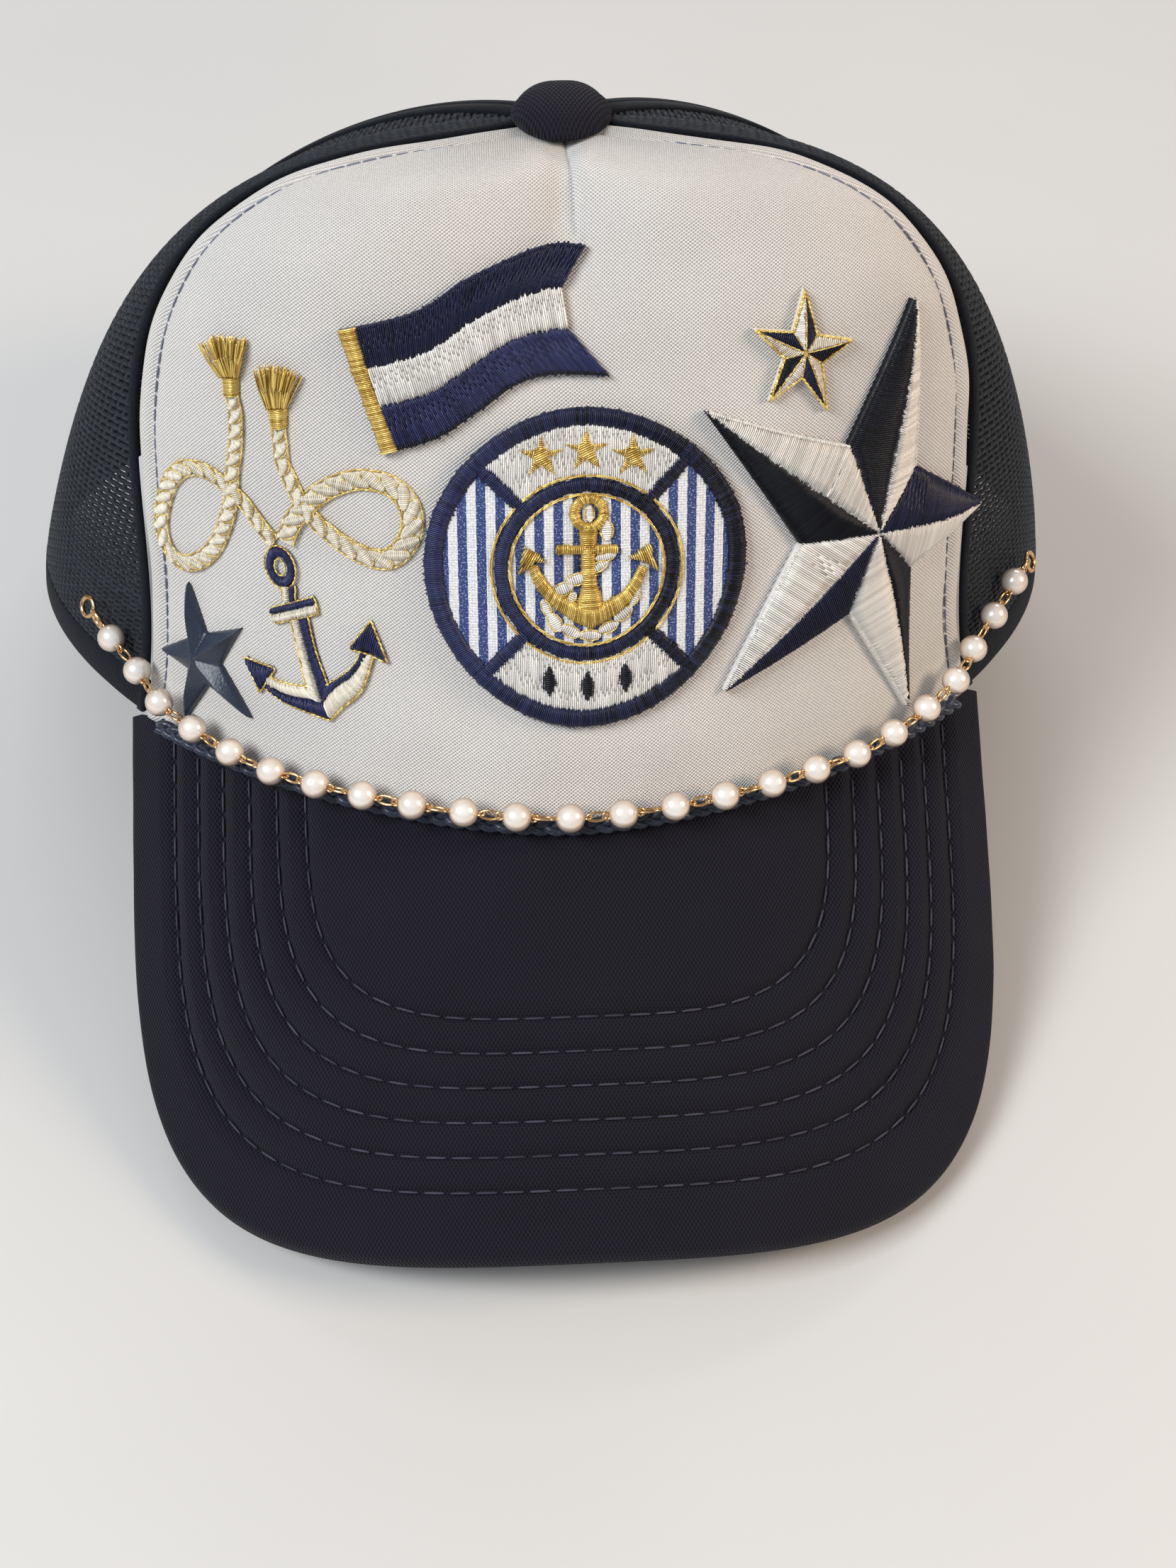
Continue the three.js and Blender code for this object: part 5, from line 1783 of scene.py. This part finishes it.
for start, end in WHITE_FIELDS:
    far, near = arc(inside_border + 0.4, start, end), arc(BADGE["disc"] + 0.2, start, end)
    strip_padding(badge, near, far, badge_level, 0.1, THREAD["white"])
    satin_area(badge, np.concatenate([far, near[::-1]]), 88, THREAD["white"], level=badge_level,
               longest=4.2, rag=0.2)
# The bars and both rings are painted with light: lighter threads on the left, darker on the right.
for clock in BARS["clocks"]:
    a, b = arc(BADGE["disc"] - 0.3, clock, clock, 1)[0], arc(inside_border + 0.6, clock, clock, 1)[0]
    side = np.array([-(b - a)[1], (b - a)[0]]) / np.linalg.norm(b - a) * BARS["half_width"]
    satin_strip(badge, np.linspace(a - side, b - side, 20), np.linspace(a + side, b + side, 20),
                THREAD["ring"], lift=0.4, level=badge_level, shade=ring_painted_light)
for inner, outer in ((inside_border, BADGE["radius"]), (inside_ring, BADGE["disc"])):
    satin_strip(badge, arc(inner, 0, 360, 400), arc(outer, 0, 360, 400), THREAD["ring"],
                lift=0.5, level=badge_level, rag=0.12, shade=ring_painted_light)
for radius in (BADGE["disc"] + 0.45, inside_ring - 0.35):
    for shift in (-0.12, 0.12):
        gold_line(badge, arc(radius + shift, 0, 360, 200), level=badge_level, radius=0.14, pitch=1.5)
print("badge points so far:", badge.count)

# %% Gold stars and lozenges on the fields
FIELD_STARS = {"middles": ((-4.2, 62.7), (3.0, 63.5), (10.4, 62.6)), "radius": 3.8, "waist": 0.5,
               "overlap": 0.8}
LOZENGE = {"half_wide": 1.5, "half_high": 2.6, "clocks": (162.0, 180.5, 199.0), "radius": 19.4}


def small_gold_star(piece, middle, radius):
    """Five tapering strips for the arms, and a pentagon that covers where they meet."""
    tips = arc(radius, 0, 288, 5, middle)
    waists = arc(radius * FIELD_STARS["waist"], 36, 324, 5, middle)
    for i, tip in enumerate(tips):
        feet = [middle + (waist - middle) * FIELD_STARS["overlap"] for waist in (waists[i - 1], waists[i])]
        satin_strip(piece, np.linspace(feet[0], tip, 12), np.linspace(feet[1], tip, 12), THREAD["gold"],
                    lift=0.4, level=badge_level, rag=0.06)
    satin_area(piece, waists, 25, THREAD["gold"], lift=0.5, level=badge_level)


for middle in FIELD_STARS["middles"]:
    small_gold_star(badge, middle, FIELD_STARS["radius"])
for clock in LOZENGE["clocks"]:
    middle = arc(LOZENGE["radius"], clock, clock, 1)[0]
    tip, side = np.array([0, LOZENGE["half_high"]]), np.array([LOZENGE["half_wide"], 0])
    left = smooth_line([middle + tip, middle - side, middle - tip], 20)
    right = smooth_line([middle + tip, middle + side, middle - tip], 20)
    satin_strip(badge, left, right, THREAD["black"], lift=0.5, level=badge_level)
print("signs on the fields:", len(FIELD_STARS["middles"]) + len(LOZENGE["clocks"]))

# %% Rope round the gold anchor
ROPE_OVALS = [  # across, up, half length, half width, degrees
    (3.4, 53.3, 1.3, 0.8, 90), (6.1, 50.5, 1.6, 1.1, 90), (5.9, 46.2, 1.7, 0.8, 10),
    (4.6, 44.5, 1.8, 0.8, 25), (1.4, 42.7, 1.9, 1.0, 15), (-1.0, 41.1, 1.7, 1.1, 20),
    (0.5, 39.7, 0.9, 0.7, 60), (-3.7, 38.0, 1.5, 0.8, 110), (-2.3, 35.6, 1.7, 1.1, 120),
    (0.2, 34.1, 1.7, 1.0, 150), (3.3, 33.3, 1.8, 0.9, 175), (6.3, 34.4, 1.7, 0.9, 20),
    (8.7, 36.5, 1.7, 1.0, 35), (10.6, 39.0, 1.6, 0.7, 65),
]


def leaf(across, up, half_long, half_wide, degrees, count=16):
    """The two sides of a leaf-shaped oval."""
    t = np.linspace(0, math.pi, count)
    c, s = math.cos(math.radians(degrees)), math.sin(math.radians(degrees))
    spine = np.array([across, up]) - np.array([c, s]) * (half_long * np.cos(t))[:, None]
    bulge = np.array([-s, c]) * (half_wide * np.sin(t) ** 0.8)[:, None]
    return spine - bulge, spine + bulge


for oval in ROPE_OVALS:
    low, high = leaf(*oval)
    satin_strip(badge, low, high, THREAD["white"], lift=0.35, level=badge_level, rag=0.05)
    gold_line(badge, np.concatenate([low, high[::-1]]), lift=0.3, level=badge_level, radius=0.14, closed=True)
print("turns of rope:", len(ROPE_OVALS))

# %% Gold anchor
GOLD_ANCHOR = {
    "ring": (3.3, 53.4), "ring_in": 1.5, "ring_out": 3.2, "above_cloth": 0.15,
    "strips": (
        ([(-2.1, 47.6), (7.9, 47.3)], 20, [0.8, 0.8], 0.5),
        ([(3.2, 51.0), (3.1, 47.0), (3.2, 43.5), (3.4, 37.0)], 40, [1.6, 1.2, 1.3, 2.6], 0.6),
        ([(-5.9, 45.0), (-3.9, 41.2), (-0.4, 38.2), (3.4, 36.4), (7.0, 37.8), (10.0, 40.2), (12.1, 44.2)],
         80, [0.8, 1.2, 1.8, 1.2, 0.8], 0.6),
    ),
    "areas": (
        ([(0.2, 37.2), (3.5, 33.8), (6.6, 37.0), (3.4, 38.4)], 90),
        ([(-7.2, 48.3), (-8.2, 43.2), (-5.7, 45.2), (-3.1, 45.7)], 60),
        ([(13.0, 48.2), (9.2, 45.5), (12.0, 44.9), (14.4, 43.0)], 110),
    ),
}
raised = level_at(BADGE["cloth"] + GOLD_ANCHOR["above_cloth"])


def offset_lines(line, widths):
    """Two lines beside a middle line, at half widths that vary along it."""
    ahead = unit(np.gradient(line, axis=0))
    side = np.stack([-ahead[:, 1], ahead[:, 0]], -1)
    half = np.interp(np.linspace(0, 1, len(line)), np.linspace(0, 1, len(widths)), widths)[:, None]
    return line - side * half, line + side * half


ring = [arc(GOLD_ANCHOR[side], 0, 360, 60, GOLD_ANCHOR["ring"]) for side in ("ring_in", "ring_out")]
satin_strip(badge, *ring, THREAD["gold"], lift=0.5, level=raised)
for places, count, widths, lift in GOLD_ANCHOR["strips"]:
    sides = offset_lines(smooth_line(places, count), widths)
    satin_strip(badge, *sides, THREAD["gold"], lift=lift, level=raised)
for outline, degrees in GOLD_ANCHOR["areas"]:
    satin_area(badge, outline, degrees, THREAD["gold"], lift=0.5, level=raised)
badge.done("round_badge_patch")

# %% [markdown]
# ## The rope and the small anchor
#
# A rope is drawn as a row of slanting leaves, each filled with cream stitches, between two lines
# of gold thread. It starts at a tassel of loose gold threads, makes a loop, and ends at the
# anchor's ring. The anchor is sewn in navy and cream strips with gold along their outer edges.

# %% Cream ropes
ROPES = {
    "left": {"half": (1.2, 1.25, 1.3, 1.4, 1.5, 1.5, 1.4, 1.3), "path": [
        (-54.8, 71.9), (-54.4, 68.3), (-54.7, 64.0), (-55.3, 60.4), (-56.2, 56.7), (-56.8, 53.1),
        (-57.7, 49.4), (-59.3, 45.5), (-61.5, 41.4), (-64.6, 38.1), (-68.2, 36.0), (-71.6, 35.9),
        (-73.6, 38.7), (-73.5, 42.6), (-72.0, 47.0), (-69.5, 51.6), (-66.3, 54.6), (-63.1, 55.5),
        (-60.2, 55.0), (-57.8, 53.5), (-55.2, 51.7), (-53.1, 49.1), (-51.3, 46.7), (-49.6, 44.9)]},
    "right": {"half": (1.2, 1.3, 1.5, 1.75, 1.8, 1.8, 1.7, 1.5), "path": [
        (-46.8, 66.8), (-46.7, 63.7), (-46.6, 60.2), (-45.7, 57.6), (-44.5, 54.4), (-43.1, 51.9),
        (-41.4, 49.8), (-39.6, 48.4), (-36.8, 46.4), (-34.1, 45.1), (-31.3, 44.5), (-28.8, 45.0),
        (-26.6, 47.2), (-25.3, 50.1), (-25.2, 53.3), (-26.3, 55.8), (-28.3, 57.7), (-31.0, 58.5),
        (-34.0, 58.5), (-37.1, 57.4), (-39.7, 55.9), (-41.7, 54.2), (-43.8, 51.8), (-45.6, 49.5),
        (-46.9, 46.9), (-47.6, 45.0)]},
}
ROPE = {"samples": 400, "leaf_pitch": 2.9, "slant": 36.0, "leaf_long": 1.35, "leaf_wide": 0.66}
ropes = Piece("rope_and_anchor")


def satin_rope(piece, path, half):
    """Padding, gold along both edges, and slanting leaves with gold between them."""
    line = smooth_line(path, ROPE["samples"])
    run = running_length(line)
    low, high = offset_lines(line, half)
    strip_padding(piece, low, high, FLAT_CLOTH, 0.25, THREAD["cream"])
    for edge in (low, high):
        gold_line(piece, edge, lift=0.35, pitch=1.05)
    ahead = unit(np.gradient(line, axis=0))
    for place in np.arange(ROPE["leaf_pitch"] / 2, run[-1], ROPE["leaf_pitch"]):
        k = int(np.searchsorted(run, place).clip(0, ROPE["samples"] - 1))
        wide = np.interp(place / run[-1], np.linspace(0, 1, len(half)), half)
        turn = math.degrees(math.atan2(ahead[k, 1], ahead[k, 0])) - ROPE["slant"]
        side_low, side_high = leaf(*line[k], wide * ROPE["leaf_long"], wide * ROPE["leaf_wide"], turn)
        satin_strip(piece, side_low, side_high, THREAD["cream"], lift=0.7, rag=0.03)
        between = (side_high - side_low) * np.sin(np.linspace(0, math.pi, len(side_low)))[:, None]
        gold_line(piece, side_high + between * 0.1, lift=0.42, radius=0.15, pitch=0.8)
    return run[-1]


for name, rope in ROPES.items():
    print(name, "rope:", round(float(satin_rope(ropes, **rope)), 1), "mm")

# %% Tassels
TASSELS = (
    {"neck": [(-56.5, 75.2), (-53.1, 75.6)], "fringe": [(-59.7, 82.0), (-55.2, 84.0), (-51.0, 83.5)],
     "wraps": [(-56.4, 71.4), (-53.4, 71.8)]},
    {"neck": [(-48.6, 70.2), (-44.9, 70.8)], "fringe": [(-50.2, 77.6), (-46.0, 78.8), (-42.2, 77.2)],
     "wraps": [(-48.2, 66.3), (-45.3, 66.9)]},
)
TASSEL = {"threads": 95, "radius": 0.15, "wrap_lift": 1.3}


def tassel(piece, neck, fringe, wraps):
    """A fan of loose gold threads, bound at the neck."""
    count = TASSEL["threads"]
    spot = chance.uniform(0, 1, count)
    neck = np.array(neck, float)
    a = neck[0] + (neck[1] - neck[0]) * spot[:, None]
    b = smooth_line(fringe, 50)[(spot * 49).astype(int)]
    b = b + (b - a) * chance.normal(-0.03, 0.05, (count, 1)) + chance.normal(0, 0.25, (count, 2))
    lifts = chance.uniform(0.2, 1.5, count)
    middle = (a + b) / 2 + chance.normal(0, 0.12, (count, 2))
    up = crown_normal(*front_tape.angles(middle))
    knots = [front_tape.place(spots, RESTS_AT + height) for spots, height in (
        (a, 0.35 + lifts * 0.4), (middle, 0.3 + lifts), (b, 0.1 + lifts * 1.1))]
    for start, end in zip(knots[:-1], knots[1:]):
        ahead = unit(end - start) * TASSEL["radius"]
        points, faces, per = capsules(start - ahead, end + ahead, TASSEL["radius"], up, sides=4)
        piece.add(points, faces, THREAD["gold"], np.repeat(chance.uniform(0.0, 1.0, count), per))
    satin_strip(piece, np.linspace(neck[0], wraps[0], 12), np.linspace(neck[1], wraps[1], 12), THREAD["gold"],
                lift=TASSEL["wrap_lift"], rag=0.05)


for fan in TASSELS:
    tassel(ropes, **fan)
print("threads in each tassel:", TASSEL["threads"])

# %% Small anchor
RING = {"middle": (-48.9, 40.3), "out": (2.75, 3.8), "in": (1.25, 1.9), "gold": ((1.05, 1.7), (2.95, 4.0))}
ANCHOR = {
    "neck": {"lift": 0.8, "pair": ("cream", "indigo"), "lines": (
        [(-48.9, 37.0), (-49.1, 34.0)],
        [(-47.7, 37.0), (-47.6, 34.0)],
        [(-46.3, 37.4), (-46.6, 34.6)])},
    "shank": {"lift": 0.7, "pair": ("cream", "indigo"), "lines": (
        [(-47.9, 30.7), (-46.7, 24.2), (-45.6, 17.4)],
        [(-46.4, 31.2), (-45.2, 25.1), (-42.9, 16.4)],
        [(-44.4, 32.0), (-43.4, 26.1), (-41.2, 19.5)])},
    "arm_left": {"lift": 0.7, "pair": ("cream", "indigo"), "lines": (
        [(-53.4, 19.0), (-50.5, 18.6), (-45.4, 19.0)],
        [(-53.9, 17.4), (-49.7, 16.3), (-42.6, 16.9)],
        [(-54.3, 16.5), (-50.8, 14.9), (-46.3, 14.2), (-41.4, 13.7)])},
    "arm_right": {"lift": 0.7, "pair": ("indigo", "cream"), "lines": (
        [(-42.2, 19.8), (-38.5, 22.7), (-36.3, 25.0), (-35.0, 27.4)],
        [(-42.7, 16.9), (-40.1, 20.1), (-37.0, 22.7), (-34.0, 27.2)],
        [(-41.4, 13.7), (-38.9, 16.6), (-35.2, 20.4), (-32.8, 27.0)])},
    "stock": {"lift": 1.0, "pair": ("indigo", "cream"), "lines": (
        [(-51.5, 32.2), (-43.0, 36.0)],
        [(-51.6, 30.9), (-42.6, 34.8)],
        [(-50.9, 29.4), (-42.4, 32.9)])},
}
FLUKES = (([(-58.2, 21.3), (-51.6, 20.8), (-55.4, 15.2)], 100),
          ([(-32.9, 33.4), (-37.2, 27.6), (-33.6, 27.2), (-30.3, 26.1)], 75))


def oval_line(middle, size, count=60):
    a = np.linspace(0, TURN, count)
    return np.array(middle) + np.stack([np.sin(a) * size[0], np.cos(a) * size[1]], -1)


def two_strips(piece, lines, pair, lift):
    """Two satin strips side by side, with gold along both outer edges."""
    a, b, c = (smooth_line(line, 40) for line in lines)
    satin_strip(piece, a, b, THREAD[pair[0]], lift=lift)
    satin_strip(piece, b, c, THREAD[pair[1]], lift=lift)
    for edge in (a, c):
        gold_line(piece, edge, lift=0.4, radius=0.19)


ring_in, ring_out = oval_line(RING["middle"], RING["in"]), oval_line(RING["middle"], RING["out"])
satin_strip(ropes, ring_in, ring_out, THREAD["indigo"], lift=0.8, rag=0.06)
for size in RING["gold"]:
    gold_line(ropes, oval_line(RING["middle"], size), lift=0.45, radius=0.19)
for part in ANCHOR.values():
    two_strips(ropes, **part)
for end in (0, 1):
    gold_line(ropes, [line[end] for line in ANCHOR["stock"]["lines"]], lift=0.5, radius=0.19)
for outline, degrees in FLUKES:
    satin_area(ropes, outline, degrees, THREAD["indigo"], lift=0.8, longest=9)
    gold_line(ropes, outline, lift=0.45, radius=0.2, closed=True)
ropes.done("rope_anchor_patch")

# %% [markdown]
